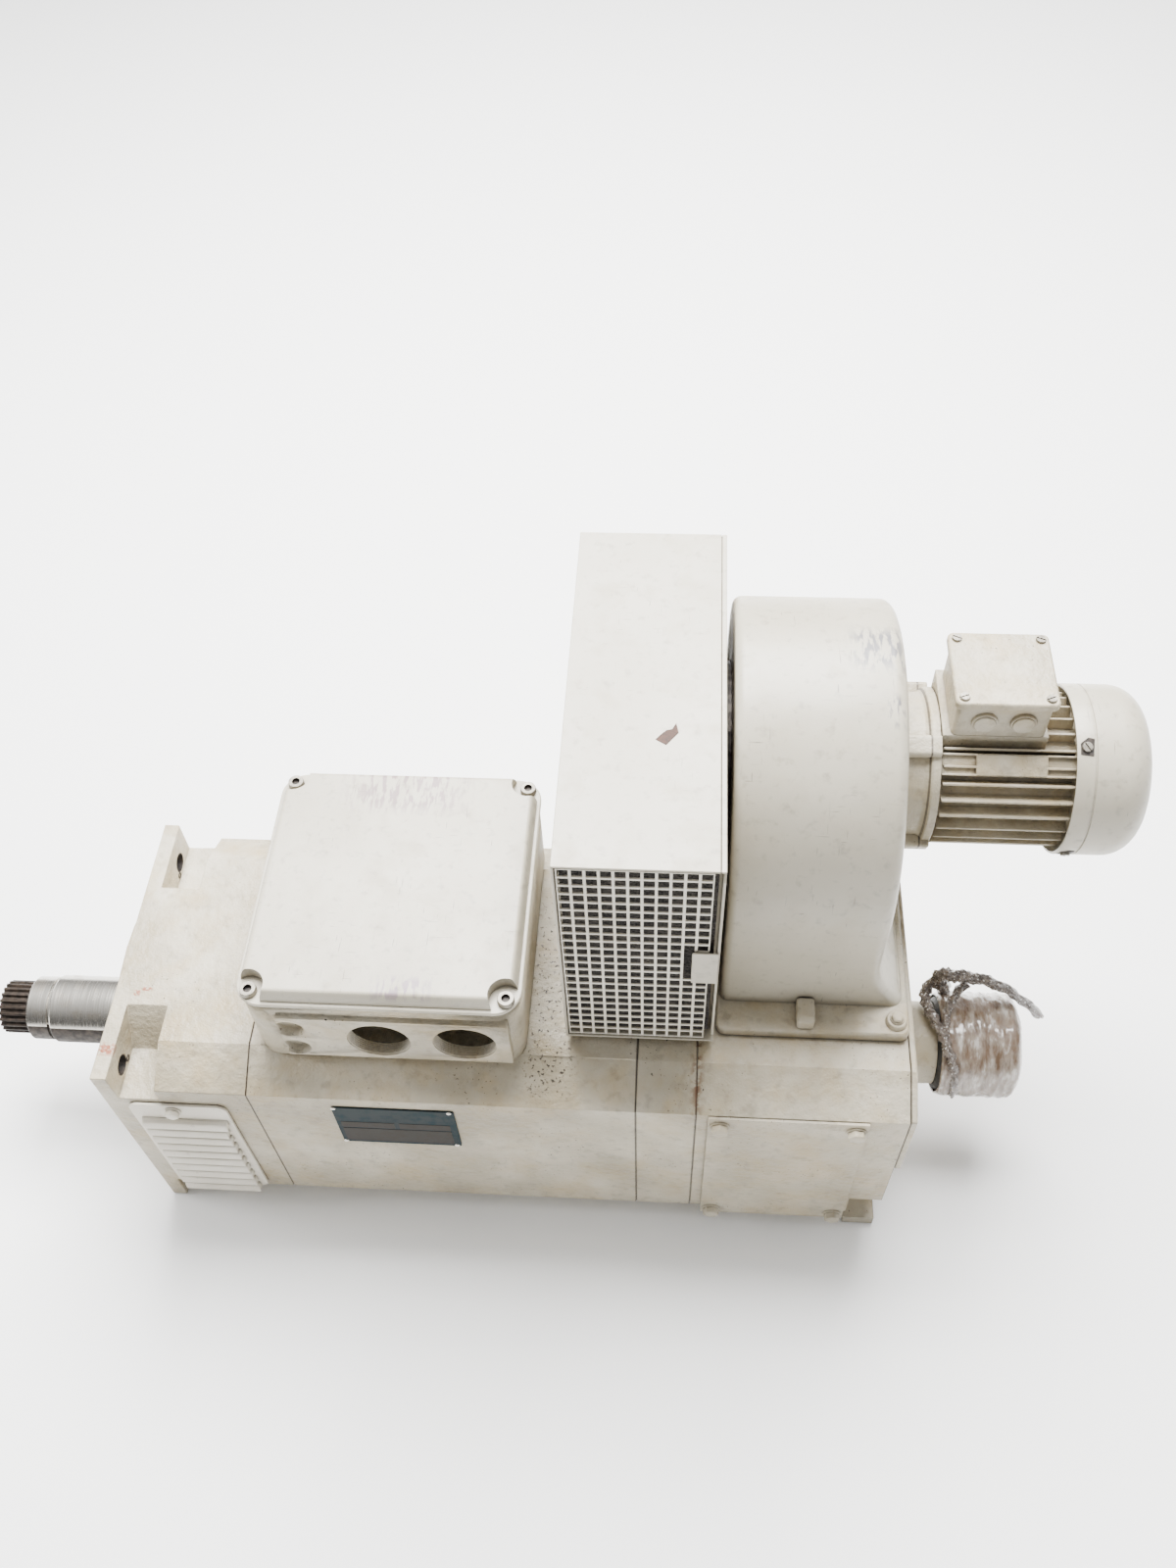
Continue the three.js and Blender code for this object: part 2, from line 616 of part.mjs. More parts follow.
function coolingFan() {
  const start = FIN_END + 8;
  const hub = rodX(18, start, start + 22, 0, 0, FINE);
  const disc = rodX(56, start, start + 2);
  const blades = circlePoints(1, 8).map(([, , angle]) => (
    box(start + 1, start + 20, -1, 1, 14, 56).rotate([angle * 180 / Math.PI, 0, 0])));
  return cut(join(hub, disc, ...blades), rodX(9 + GAP, start - 1, start + 23, 0, 0, FINE));
}

function fanCowl() {
  const { start, end, r, wall, round } = COWL;
  const arc = (radius) => [0, 1, 2, 3].map((i) => {
    const angle = i / 3 * Math.PI / 2;
    const x = end - round + (radius - r + round) * Math.sin(angle);
    return [x, r - round + (radius - r + round) * Math.cos(angle)];
  });
  const shell = turned([
    [start, r - wall], [start, r], ...arc(r), [end, 0], [end - wall, 0],
    ...arc(r - wall).reverse(),
  ]);
  const slots = [-32, -16, 0, 16, 32].map((z) => {
    const reach = Math.sqrt(40 * 40 - z * z);
    return box(end - wall - 1, end + 1, -reach, reach, z - 4, z + 4);
  });
  return cut(shell, ...slots);
}

function smallTerminalBox() {
  const { x, y, wide, deep, low, lid, top } = SMALL_BOX;
  const outline = roundedRectangle(-wide / 2 + 3, wide / 2 - 3, -deep / 2 + 3, deep / 2 - 3, 5, 3);
  const room = roundedRectangle(-wide / 2 + 7, wide / 2 - 7, -deep / 2 + 7, deep / 2 - 7, 3, 3);
  const body = cut(prismZ(outline, low + GAP, top - lid), prismZ(room, low + 4, top));
  const holes = PLUG_PLACES.map((dx) => rodY(10, -deep, -deep / 2 + 12, dx, PLUG_HEIGHT));
  return cut(body, ...holes).translate([x, y, 0]);
}

function smallTerminalLid() {
  const { x, y, wide, deep, lid, top } = SMALL_BOX;
  const outline = roundedRectangle(-wide / 2, wide / 2, -deep / 2, deep / 2, 6, 3);
  return prismZ(outline, top - lid + GAP, top).translate([x, y, 0]);
}

function entryPlug(dx) {
  const { x, y, deep } = SMALL_BOX;
  const face = y - deep / 2 + 3;
  const body = rodY(9.6, face - 1, face + 8, x + dx, PLUG_HEIGHT);
  return join(body, rodY(11.5, face - 3, face - GAP, x + dx, PLUG_HEIGHT));
}

piece(blower, 'scroll_housing', scrollHousing(), SHEET_PAINT);
piece(blower, 'blower_base', blowerBase(), PAINT);
piece(blower, 'inlet_ring', inletRing(), DARK_STEEL);
piece(blower, 'blower_motor_flange', motorFlange(), PAINT);
piece(blower, 'blower_motor_housing', blowerMotorHousing(), PAINT);
piece(blower, 'blower_stator_core', ringX(47 - GAP, 28.5, 725, 795), LAMINATION);
piece(blower, 'fan_cowl', fanCowl(), SHEET_PAINT);
piece(blower, 'blower_terminal_box', smallTerminalBox(), PAINT);
piece(blower, 'blower_terminal_lid', smallTerminalLid(), PAINT);
PLUG_PLACES.forEach((dx, i) => piece(blower, `entry_plug_${i + 1}`, entryPlug(dx), PAINT));

const blowerSpindle = new THREE.Group();
blowerSpindle.position.copy(blower.position);
machine.add(blowerSpindle);
piece(blowerSpindle, 'blower_rotor', blowerRotor(), BRIGHT_STEEL);
piece(blowerSpindle, 'impeller', impeller(), DARK_STEEL);
piece(blowerSpindle, 'cooling_fan', coolingFan(), BLACK_PLASTIC);

// ---------------------------------------------------------------- filter box

const filter = new THREE.Group();
machine.add(filter);

function filterBox() {
  const { left, right, front, rear, low, top, sheet } = FILTER;
  const shell = box(left, right, front, rear, low, top);
  const room = box(left + sheet, right - sheet, front - 1, rear - sheet, low + sheet, top - sheet);
  const outlet = rodX(66, right - sheet - 1, right + 1, BLOWER_Y, BLOWER_Z);
  const slots = Array.from({ length: 8 }, (_, i) => {
    const z = low + 24 + i * 29;
    return box(left - 1, left + sheet + 1, front + 20, rear - 60, z, z + 12);
  });
  return cut(shell, room, outlet, ...slots);
}

function frontGrille() {
  const { left, right, low, top, thick, slots } = GRILLE;
  const y = FILTER.front + 1;
  const panel = box(left, right, y, y + thick, low, top);
  const pitch = (top - low - 10) / slots;
  const rows = Array.from({ length: slots }, (_, i) => {
    const z = low + 5 + (i + 0.25) * pitch;
    return box(left + 6, right - 6, y - 1, y + thick + 1, z, z + pitch / 2);
  });
  return cut(panel, ...rows);
}

// A flat spring plate that laps from the panel onto the box's right edge.
function grilleClip() {
  const { left, low, top, thick } = CLIP;
  const y = FILTER.front - GAP;
  const tab = box(left, FILTER.right - 1, y - thick, y, low, top);
  const foot = box(left, left + 4, y - 1, FILTER.front + 1 - GAP, low + 4, top - 4);
  return join(tab, foot);
}

piece(filter, 'filter_box', filterBox(), SHEET_PAINT);
const matSize = [MAT.left, MAT.right, MAT.front, MAT.rear, MAT.low, MAT.top];
piece(filter, 'filter_mat', box(...matSize), FILTER_FOAM);
piece(filter, 'front_grille', frontGrille(), LOUVRE_PAINT);
piece(filter, 'grille_clip', grilleClip(), LOUVRE_PAINT);

// ---------------------------------------------------------------- encoder

const speed = new THREE.Group();
machine.add(speed);

function encoderAdapter() {
  const start = FRAME_END + 6 + GAP;
  return turned([
    [start, 24], [start, 56], [start + 9, 56], [start + 9, 38], [ENCODER.start - GAP, 38],
    [ENCODER.start - GAP, 24],
  ]);
}

function encoderBody() {
  return turned([
    [ENCODER.start, 10], [ENCODER.start, ENCODER.r - 3], [ENCODER.start + 3, ENCODER.r],
    [ENCODER.end - 6, ENCODER.r], [ENCODER.end, ENCODER.r - 6], [ENCODER.end, 0],
    [ENCODER.start + 34, 0], [ENCODER.start + 34, 10],
  ]);
}

function filmWrap() {
  const cup = turned([
    [FILM.start, FILM.inner], [FILM.start, FILM.r - 3], [FILM.start + 6, FILM.r],
    [FILM.end - 8, FILM.r], [FILM.end, FILM.r - 10], [FILM.end, 0], [FILM.end - 4, 0],
    [FILM.end - 4, FILM.inner],
  ], 24);
  const route = new THREE.CatmullRomCurve3([
    new THREE.Vector3(744, 37.5, 37.5), new THREE.Vector3(735, 37, 56),
    new THREE.Vector3(741, 34, 72), new THREE.Vector3(772, 31, 73),
    new THREE.Vector3(802, 28, 57), new THREE.Vector3(824, 26, 34),
    new THREE.Vector3(838, 25, 14),
  ]);
  const round = new THREE.Shape();
  round.absarc(0, 0, 5, 0, 2 * Math.PI);
  const tail = new THREE.ExtrudeGeometry(round, { steps: 14, curveSegments: 4, extrudePath: route });
  return join(cup, solid(tail));
}

piece(speed, 'encoder_adapter', encoderAdapter(), PAINT);
piece(speed, 'encoder', encoderBody(), BLACK_PLASTIC);
piece(speed, 'encoder_wrap', filmWrap(), FILM_WRAP);

// The origin is the middle of the footprint, at the level of the feet.
const extent = new THREE.Box3().setFromObject(machine);
const middle = extent.getCenter(new THREE.Vector3());
machine.position.set(-middle.x, -middle.y, -extent.min.z);

export default machine;
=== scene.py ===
import json
import math

import bmesh
import bpy
from mathutils import Matrix, Vector, noise


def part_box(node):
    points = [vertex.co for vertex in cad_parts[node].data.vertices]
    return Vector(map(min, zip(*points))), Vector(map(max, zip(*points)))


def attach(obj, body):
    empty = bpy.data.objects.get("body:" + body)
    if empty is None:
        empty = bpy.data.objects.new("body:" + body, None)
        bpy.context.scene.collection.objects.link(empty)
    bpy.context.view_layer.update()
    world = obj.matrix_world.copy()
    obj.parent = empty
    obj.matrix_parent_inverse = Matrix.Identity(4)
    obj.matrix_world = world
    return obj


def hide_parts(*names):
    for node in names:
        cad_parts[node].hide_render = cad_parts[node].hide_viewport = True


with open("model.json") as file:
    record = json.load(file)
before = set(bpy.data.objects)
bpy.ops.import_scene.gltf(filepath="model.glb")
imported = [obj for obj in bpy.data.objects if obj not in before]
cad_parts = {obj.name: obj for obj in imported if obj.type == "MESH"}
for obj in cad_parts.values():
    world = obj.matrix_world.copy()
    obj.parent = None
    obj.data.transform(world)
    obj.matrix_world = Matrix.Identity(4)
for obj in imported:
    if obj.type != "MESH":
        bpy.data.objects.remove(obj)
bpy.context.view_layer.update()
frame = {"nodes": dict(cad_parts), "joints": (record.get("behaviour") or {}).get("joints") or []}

# ---------------------------------------------------------------- where things are
# Every piece is drawn in millimetres from the flange's mounting face and the shaft's axis,
# then brought into the frame, in metres, as it is finished.

MM = 0.001
SPIGOT = 5
shaft_spin = next(j for j in frame["joints"] if j["name"] == "rotor_spin")
flange_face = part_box("drive_end_shield")[0].x + SPIGOT * MM
ORIGIN = Vector((flange_face, shaft_spin["pos_m"][1], shaft_spin["pos_m"][2]))
TO_FRAME = Matrix.Translation(ORIGIN) @ Matrix.Scale(MM, 4)

HALF = 132  # half the square frame's width, and the shaft's height over the floor
BLOWER = (120, 272)  # the blower's axis, across and up
SMALL_LID_TOP = 380


def at(x, y, z):
    return TO_FRAME @ Vector((x, y, z))


# ---------------------------------------------------------------- colours and nodes


def colour(code):
    """A '#rrggbb' sRGB colour as linear light."""
    parts = [int(code[i : i + 2], 16) / 255 for i in (1, 3, 5)]
    light = [c / 12.92 if c <= 0.04045 else ((c + 0.055) / 1.055) ** 2.4 for c in parts]
    return (*light, 1)


def add(tree, kind, sockets=None, out=0, **settings):
    """Adds a node, sets its options, sets or links its inputs, and gives one of its outputs."""
    node = tree.nodes.new("ShaderNode" + kind)
    for name, value in settings.items():
        setattr(node, name, value)
    for name, value in (sockets or {}).items():
        if isinstance(value, bpy.types.NodeSocket):
            tree.links.new(value, node.inputs[name])
        else:
            node.inputs[name].default_value = value
    return node.outputs[out] if node.outputs else None


def begin(name):
    material = bpy.data.materials.new(name)
    material.use_nodes = True
    tree = material.node_tree
    tree.nodes.clear()
    return material, tree, add(tree, "TexCoord", out="Object")


def surface(tree, sockets, height=None, depth=0.1):
    """Ends a material: a principled shader, with a bump `depth` mm deep if it has a height."""
    if height is not None:
        bump = {"Height": height, "Distance": depth * MM, "Strength": 1.0}
        sockets = {**sockets, "Normal": add(tree, "Bump", bump)}
    add(tree, "OutputMaterial", {"Surface": add(tree, "BsdfPrincipled", sockets)})


def overlap(tree, mask, *others):
    """Where masks and strengths meet: all of them multiplied."""
    for other in others:
        mask = add(tree, "Math", {0: mask, 1: other}, operation="MULTIPLY")
    return mask


def worn(tree, base, code, *masks):
    """Lets another colour through where its masks meet."""
    return add(tree, "Mix", {0: overlap(tree, *masks), 6: base, 7: colour(code)}, 2, data_type="RGBA")


def spots(tree, place, size, low, high, detail=3.0, rough=0.55):
    """Noise with features `size` mm across, 0 below `low` and 1 above `high`."""
    noisy = {"Vector": place, "Scale": 1 / (size * MM), "Detail": detail, "Roughness": rough}
    return add(tree, "MapRange", {0: add(tree, "TexNoise", noisy), 1: low, 2: high})


def band(tree, place, axis, centre, inner, outer):
    """1 within `inner` mm of a frame coordinate along an axis, and 0 past `outer` mm."""
    along = add(tree, "SeparateXYZ", {"Vector": place}, axis)
    off = add(tree, "Math", {0: along, 1: centre}, operation="SUBTRACT")
    away = add(tree, "Math", {0: off}, operation="ABSOLUTE")
    return add(tree, "MapRange", {0: away, 1: inner * MM, 2: outer * MM, 3: 1.0, 4: 0.0})


def patch(tree, place, centre, reach):
    """1 in the middle of a soft-edged patch round a point, `reach` mm each way."""
    sides = zip("XYZ", at(*centre), reach)
    return overlap(tree, *(band(tree, place, axis, mid, half * 0.6, half * 1.2) for axis, mid, half in sides))


def inside(tree, place, low, high):
    """1 between two corner points, given in mm, and 0 outside them."""
    halves = [(end - start) / 2 for start, end in zip(low, high)]
    middle = at(*((start + end) / 2 for start, end in zip(low, high)))
    sides = zip("XYZ", middle, halves)
    return overlap(tree, *(band(tree, place, axis, mid, half, half + 0.4) for axis, mid, half in sides))


def corner_shade(tree, reach):
    """Painted shade: 1 in joints and corners narrower than `reach` mm, found by ambient occlusion."""
    hollow = add(tree, "AmbientOcclusion", {"Distance": reach * MM}, "AO", samples=8)
    return add(tree, "MapRange", {0: hollow, 1: 0.25, 2: 0.7, 3: 1.0, 4: 0.0})


# ---------------------------------------------------------------- materials


def painted_cast_iron():
    """Thick satin enamel, brushed over a sand casting: lumpy, with painted shade in its corners."""
    material, tree, place = begin("painted_cast_iron")
    drift = spots(tree, place, 90, 0.35, 0.65)
    base = worn(tree, colour("#988e78"), "#beb6a3", drift)
    # yellowed areas, then smaller smudges, then painted shade round every corner, darker in the tightest ones
    base = worn(tree, base, "#a58f63", spots(tree, place, 35, 0.45, 0.7, 5.0), 0.5)
    base = worn(tree, base, "#6d6455", spots(tree, place, 11, 0.54, 0.7, 6.0), 0.35)
    base = worn(tree, base, "#857966", corner_shade(tree, 16), spots(tree, place, 12, 0.3, 0.6), 0.6)
    base = worn(tree, base, "#3a3229", corner_shade(tree, 4), 0.7)
    # black grime packed into the joints between the castings
    for joint in (130.2, 462, 512.6, 690.2):
        base = worn(tree, base, "#3d352d", band(tree, place, "X", at(joint, 0, 0).x, 0.55, 1.0), 0.8)
    # black oily specks about 2 mm across, thick on the top between the two boxes
    specks = spots(tree, place, 2.4, 0.68, 0.71, 2.0)
    dusting = overlap(tree, specks, spots(tree, place, 60, 0.5, 0.6))
    coarse = spots(tree, place, 3.2, 0.585, 0.62, 5.0)
    spill = overlap(tree, patch(tree, place, (388, -40, 128), (22, 110, 14)), coarse)
    base = worn(tree, base, "#2f2822", add(tree, "Math", {0: dusting, 1: spill}, operation="MAXIMUM"))
    # rust bleeding over the edge from the joint between the stator and the brush-end housing
    height = add(tree, "SeparateXYZ", {"Vector": place}, "Z")
    start = add(tree, "MapRange", {0: height, 1: at(0, 0, 100).z, 2: at(0, 0, 122).z})
    end = add(tree, "MapRange", {0: height, 1: at(0, 0, 133).z, 2: at(0, 0, 135).z, 3: 1.0, 4: 0.0})
    beside = band(tree, place, "X", at(513, 0, 0).x, 0.6, 7)
    base = worn(tree, base, "#573619", beside, start, end, spots(tree, place, 7, 0.44, 0.56, 6.0), 0.95)
    # paint knocked off near the lifting slings, down to rusty iron
    chips = (((28, -45, 132), (5, 2, 3)), ((20, -49, 132), (3, 3, 3)), ((7, -104, 131), (8, 6, 4)))
    for middle, reach in chips:
        base = worn(tree, base, "#8a4f33", patch(tree, place, middle, reach), spots(tree, place, 3, 0.4, 0.5))
    # the inside of the terminal box is painted near-black: painted shade where the light doesn't reach
    base = worn(tree, base, "#231e19", inside(tree, place, (150, -95, 142), (358, 119, 215)))
    lumps = spots(tree, place, 7, 0.2, 0.8, 2.0)
    peel = overlap(tree, spots(tree, place, 1.6, 0.2, 0.8, 1.0), 0.2)
    relief = add(tree, "Math", {0: lumps, 1: peel}, operation="ADD")
    rough = add(tree, "MapRange", {0: drift, 3: 0.4, 4: 0.55})
    surface(tree, {"Base Color": base, "Roughness": rough, "IOR": 1.5}, relief, 0.8)
    return material


def enamelled_sheet():
    """Pressed steel sheet under smooth satin enamel, with hand marks and fine scratches."""
    material, tree, place = begin("enamelled_steel_sheet")
    base = worn(tree, colour("#aca593"), "#bab4a4", spots(tree, place, 120, 0.35, 0.65))
    smear = spots(tree, place, 30, 0.5, 0.75, 6.0)
    base = worn(tree, base, "#9c9079", smear, 0.35)
    base = worn(tree, base, "#756d62", spots(tree, place, 9, 0.56, 0.72, 6.0), 0.4)
    # painted shade in the corners and joints, darkest in the tightest ones
    base = worn(tree, base, "#857966", corner_shade(tree, 12), 0.4)
    base = worn(tree, base, "#2e2821", corner_shade(tree, 4), 0.95)
    # scratches 1 to 2 mm wide and about 20 mm long, in two directions
    for turn, stretch in ((0.5, (700, 45, 45)), (-0.9, (45, 900, 45))):
        marks = add(tree, "Mapping", {"Vector": place, "Scale": stretch, "Rotation": (0, 0, turn)})
        lines = add(tree, "TexNoise", {"Vector": marks, "Scale": 1.0, "Detail": 1.0})
        scratch = add(tree, "MapRange", {0: lines, 1: 0.72, 2: 0.75})
        base = worn(tree, base, "#5f5953", scratch, spots(tree, place, 50, 0.5, 0.6), 0.7)
    # bluish and pinkish scuffs where packing rubbed the paint
    scuffs = (
        ((640, 118, 416), (22, 22, 12), "#55555f"), ((650, 62, 408), (8, 12, 12), "#55555f"),
        ((254, 105, 236), (52, 24, 6), "#7d666b"), ((276, -90, 236), (24, 10, 6), "#7d6a78"))
    hatch = add(tree, "Mapping", {"Vector": place, "Scale": (260, 60, 60)})
    strokes = add(tree, "TexNoise", {"Vector": hatch, "Scale": 1.0, "Detail": 5.0})
    rubs = add(tree, "MapRange", {0: strokes, 1: 0.48, 2: 0.56})
    for centre, reach, tint in scuffs:
        base = worn(tree, base, tint, patch(tree, place, centre, reach), rubs, 0.8)
    waves = spots(tree, place, 45, 0.2, 0.8, 1.0)
    peel = overlap(tree, spots(tree, place, 1.2, 0.2, 0.8, 1.0), 0.08)
    relief = add(tree, "Math", {0: waves, 1: peel}, operation="ADD")
    rough = add(tree, "MapRange", {0: smear, 3: 0.36, 4: 0.52})
    surface(tree, {"Base Color": base, "Roughness": rough, "IOR": 1.5}, relief, 0.5)
    return material


def white_enamel():
    """Newer, whiter enamel on the louvres and the filter grille."""
    material, tree, place = begin("white_enamel")
    base = worn(tree, colour("#c9c2b2"), "#d8d2c4", spots(tree, place, 60, 0.35, 0.65))
    # painted shade between the louvre's slats and round the grille's holes
    base = worn(tree, base, "#6d6250", corner_shade(tree, 9), 0.75)
    base = worn(tree, base, "#8b8070", spots(tree, place, 5, 0.62, 0.72, 5.0), 0.3)
    peel = spots(tree, place, 1.5, 0.2, 0.8, 1.0)
    surface(tree, {"Base Color": base, "Roughness": 0.42, "IOR": 1.5}, peel, 0.06)
    return material


def ground_steel():
    """Cylindrically ground shaft steel: bright and clean, with grinding marks round the axis
    drawn 0.8 mm apart, coarser than real ones, so that they show."""
    material, tree, place = begin("ground_steel")
    rings = add(tree, "Mapping", {"Vector": place, "Scale": (1, 0.02, 0.02)})
    grain = add(tree, "TexNoise", {"Vector": rings, "Scale": 1 / (0.8 * MM), "Detail": 2.0})
    stain = spots(tree, place, 18, 0.5, 0.7)
    base = worn(tree, colour("#c4c0b8"), "#a8a196", stain)
    marks = add(tree, "MapRange", {0: grain, 1: 0.3, 2: 0.7, 3: 0.16, 4: 0.3})
    rough = add(tree, "Math", {0: marks, 1: overlap(tree, stain, 0.1)}, operation="ADD")
    surface(tree, {"Base Color": base, "Metallic": 1.0, "Roughness": rough}, grain, 0.02)
    return material


def oily_steel():
    """Hardened spline steel, dark brown under dried oil; also a painted dark reflection on the underside of
    the shaft's outer end.
    """
    material, tree, place = begin("oily_hardened_steel_and_dark_reflection")
    film = spots(tree, place, 5, 0.35, 0.65)
    rough = add(tree, "MapRange", {0: film, 3: 0.4, 4: 0.55})
    dull = {"Metallic": 0.3, "Roughness": rough, "Specular IOR Level": 0.25}
    surface(tree, {"Base Color": worn(tree, colour("#3a312a"), "#1f1a16", film), **dull}, film, 0.08)
    return material


def dark_sheet_steel():
    """Blackened steel of the fan wheel and inlet ring, with a little dust."""
    material, tree, place = begin("blackened_sheet_steel")
    dust = spots(tree, place, 8, 0.4, 0.7)
    base = worn(tree, colour("#34302e"), "#6c655c", dust, 0.5)
    surface(tree, {"Base Color": base, "Metallic": 0.7, "Roughness": 0.5}, dust, 0.05)
    return material


def stripes(tree, place, pitch):
    """Ridges along X from 0 to 0.5 and back, one for every `pitch` mm."""
    along = add(tree, "SeparateXYZ", {"Vector": place}, "X")
    return add(tree, "Math", {0: overlap(tree, along, 1 / (pitch * MM)), 1: 0.5}, operation="PINGPONG")


def laminated_core():
    """Stacked electrical steel, 0.5 mm sheets edge on, drawn 1 mm apart so that they show."""
    material, tree, place = begin("laminated_core_steel")
    sheets = stripes(tree, place, 1.0)
    base = worn(tree, colour("#57534f"), "#8c8882", sheets, 2.0)
    surface(tree, {"Base Color": base, "Metallic": 0.8, "Roughness": 0.5}, sheets, 0.1)
    return material


def wound_copper():
    """Varnished copper: wires 1.2 mm apart, brown-red under the varnish."""
    material, tree, place = begin("varnished_copper")
    base = worn(tree, colour("#a5602f"), "#c07c48", spots(tree, place, 12, 0.3, 0.7))
    wires = stripes(tree, place, 1.2)
    surface(tree, {"Base Color": base, "Metallic": 0.9, "Roughness": 0.38}, wires, 0.3)
    return material


def plain_grained(name, dark, light, size, roughness, depth, metal=0.0):
    """A moulded, pressed or plated material of two close tones with a fine grain."""
    material, tree, place = begin(name)
    base = worn(tree, colour(dark), light, spots(tree, place, size * 12, 0.35, 0.65))
    grain = spots(tree, place, size, 0.2, 0.8, 2.0)
    surface(tree, {"Base Color": base, "Roughness": roughness, "IOR": 1.5, "Metallic": metal}, grain, depth)
    return material


def open_cell_foam():
    """Black open-cell filter foam with pores about 2.5 mm across."""
    material, tree, place = begin("open_cell_foam")
    walls = add(tree, "TexVoronoi", {"Vector": place, "Scale": 1 / (2.5 * MM)}, feature="F1")
    pores = add(tree, "MapRange", {0: walls, 1: 0.1, 2: 0.6})
    base = worn(tree, colour("#141312"), "#35322f", pores)
    base = worn(tree, base, "#6a6257", spots(tree, place, 30, 0.4, 0.7), 0.25)
    surface(tree, {"Base Color": base, "Roughness": 0.95}, pores, 1.2)
    return material


def anodised_plate(name, light, dark):
    """Anodised aluminium: dyed, satin, finely brushed along its length."""
    material, tree, place = begin(name)
    brushed = add(tree, "Mapping", {"Vector": place, "Scale": (0.04, 1, 1)})
    lines = add(tree, "TexNoise", {"Vector": brushed, "Scale": 1 / (0.7 * MM), "Detail": 2.0})
    wear = spots(tree, place, 9, 0.45, 0.7)
    rough = add(tree, "MapRange", {0: wear, 3: 0.5, 4: 0.65})
    satin = {"Metallic": 0.1, "Roughness": rough, "Specular IOR Level": 0.15}
    surface(tree, {"Base Color": worn(tree, colour(dark), light, wear), **satin}, lines, 0.02)
    return material


def stretch_film():
    """Polythene stretch film in many layers: milky, brown with oil, glossy, with painted highlights on its
    wrinkles.
    """
    material, tree, place = begin("stretch_film")
    bands = add(tree, "Mapping", {"Vector": place, "Rotation": (0, 0.3, 0.15), "Scale": (1, 0.3, 0.3)})
    creased = {"Vector": bands, "Scale": 1 / (7 * MM), "Detail": 7.0, "Roughness": 0.62}
    layers = add(tree, "TexNoise", creased)
    base = worn(tree, colour("#6a5542"), "#b5aa9d", add(tree, "MapRange", {0: layers, 1: 0.38, 2: 0.6}))
    base = worn(tree, base, "#7a5f47", spots(tree, place, 26, 0.42, 0.6, 5.0), 0.55)
    # near-white on the crests of the creases: painted highlights
    base = worn(tree, base, "#efebe4", add(tree, "MapRange", {0: layers, 1: 0.58, 2: 0.66}), 0.6)
    wet = {"Roughness": 0.15, "IOR": 1.5, "Transmission Weight": 0.15, "Coat Weight": 0.8}
    surface(tree, {"Base Color": base, **wet}, layers, 2.0)
    return material


def bunched_film():
    """The same film twisted into a rope: darker, grey-brown, with painted highlights on its creases."""
    material, tree, place = begin("bunched_stretch_film")
    creases = spots(tree, place, 4, 0.3, 0.7, 5.0, 0.65)
    base = worn(tree, colour("#40362f"), "#8f8379", creases)
    # near-white specks: painted highlights on the creases
    base = worn(tree, base, "#efebe6", spots(tree, place, 2.2, 0.6, 0.68, 3.0))
    surface(tree, {"Base Color": base, "Roughness": 0.2, "IOR": 1.5, "Coat Weight": 0.7}, creases, 1.4)
    return material


def kraft_scrap():
    """Torn brown packing tape, dull and fibrous."""
    material, tree, place = begin("brown_paper_tape")
    fibres = spots(tree, place, 2, 0.3, 0.7, 5.0)
    base = worn(tree, colour("#2a160b"), "#4a2a16", fibres)
    surface(tree, {"Base Color": base, "Roughness": 0.7}, fibres, 0.1)
    return material


def dark_bore():
    """Near-black iron in the depths of bolt holes, screw sockets and notches: painted shade."""
    material, tree, place = begin("hole_shade_dark_iron")
    tone = spots(tree, place, 4, 0.3, 0.7)
    base = worn(tree, colour("#1b1816"), "#3b332c", tone)
    surface(tree, {"Base Color": base, "Metallic": 0.3, "Roughness": 0.55}, tone, 0.1)
    return material


CAST = painted_cast_iron()
SHEET = enamelled_sheet()
WHITE = white_enamel()
STEEL = ground_steel()
OILY_STEEL_AND_DARK_REFLECTION = oily_steel()
SCREW = plain_grained("zinc_plated_screw_steel", "#8b867c", "#6a655c", 1.2, 0.45, 0.1, 0.8)
BLACK_STEEL = dark_sheet_steel()
CORE = laminated_core()
COPPER = wound_copper()
CARBON = plain_grained("pressed_carbon", "#232226", "#302f34", 0.4, 0.6, 0.03)
RUBBER = plain_grained("moulded_nitrile_rubber", "#191919", "#242322", 0.5, 0.75, 0.04)
RESIN = plain_grained("moulded_phenolic_resin", "#4a2c1a", "#6a432a", 0.8, 0.5, 0.04)
PLASTIC = plain_grained("moulded_glass_filled_nylon", "#1d1f21", "#2a2c2e", 0.6, 0.55, 0.05)
TEAL = anodised_plate("teal_anodised_aluminium", "#0d272d", "#08191e")
PANEL = anodised_plate("brown_grey_anodised_aluminium", "#37322d", "#26221e")
FOAM = open_cell_foam()
FILM = stretch_film()
ROPE = bunched_film()
TAPE = kraft_scrap()
HOLE_SHADE = dark_bore()

# ---------------------------------------------------------------- shaping


def block(bm, low, high):
    """A box between two corners. Gives its corner points."""
    low, high = Vector(low), Vector(high)
    stretch = Matrix.Diagonal((*(high - low), 1))
    place = Matrix.Translation((low + high) / 2) @ stretch
    return bmesh.ops.create_cube(bm, size=1, matrix=place)["verts"]


def soft_block(bm, low, high, axis, radius, segments=6):
    """A box whose four edges along one axis are rounded."""
    corners = block(bm, low, high)
    edges = set(e for v in corners for e in v.link_edges)
    along = [e for e in edges if abs((e.verts[0].co - e.verts[1].co).normalized()[axis]) > 0.9]
    bmesh.ops.bevel(
        bm, geom=along, offset=radius, segments=segments, profile=0.5, affect="EDGES", material=-1)


def facing(place, direction):
    """A matrix that stands +Z along a direction, at a place."""
    turn = Vector(direction).to_track_quat("Z", "Y").to_matrix().to_4x4()
    return Matrix.Translation(Vector(place)) @ turn


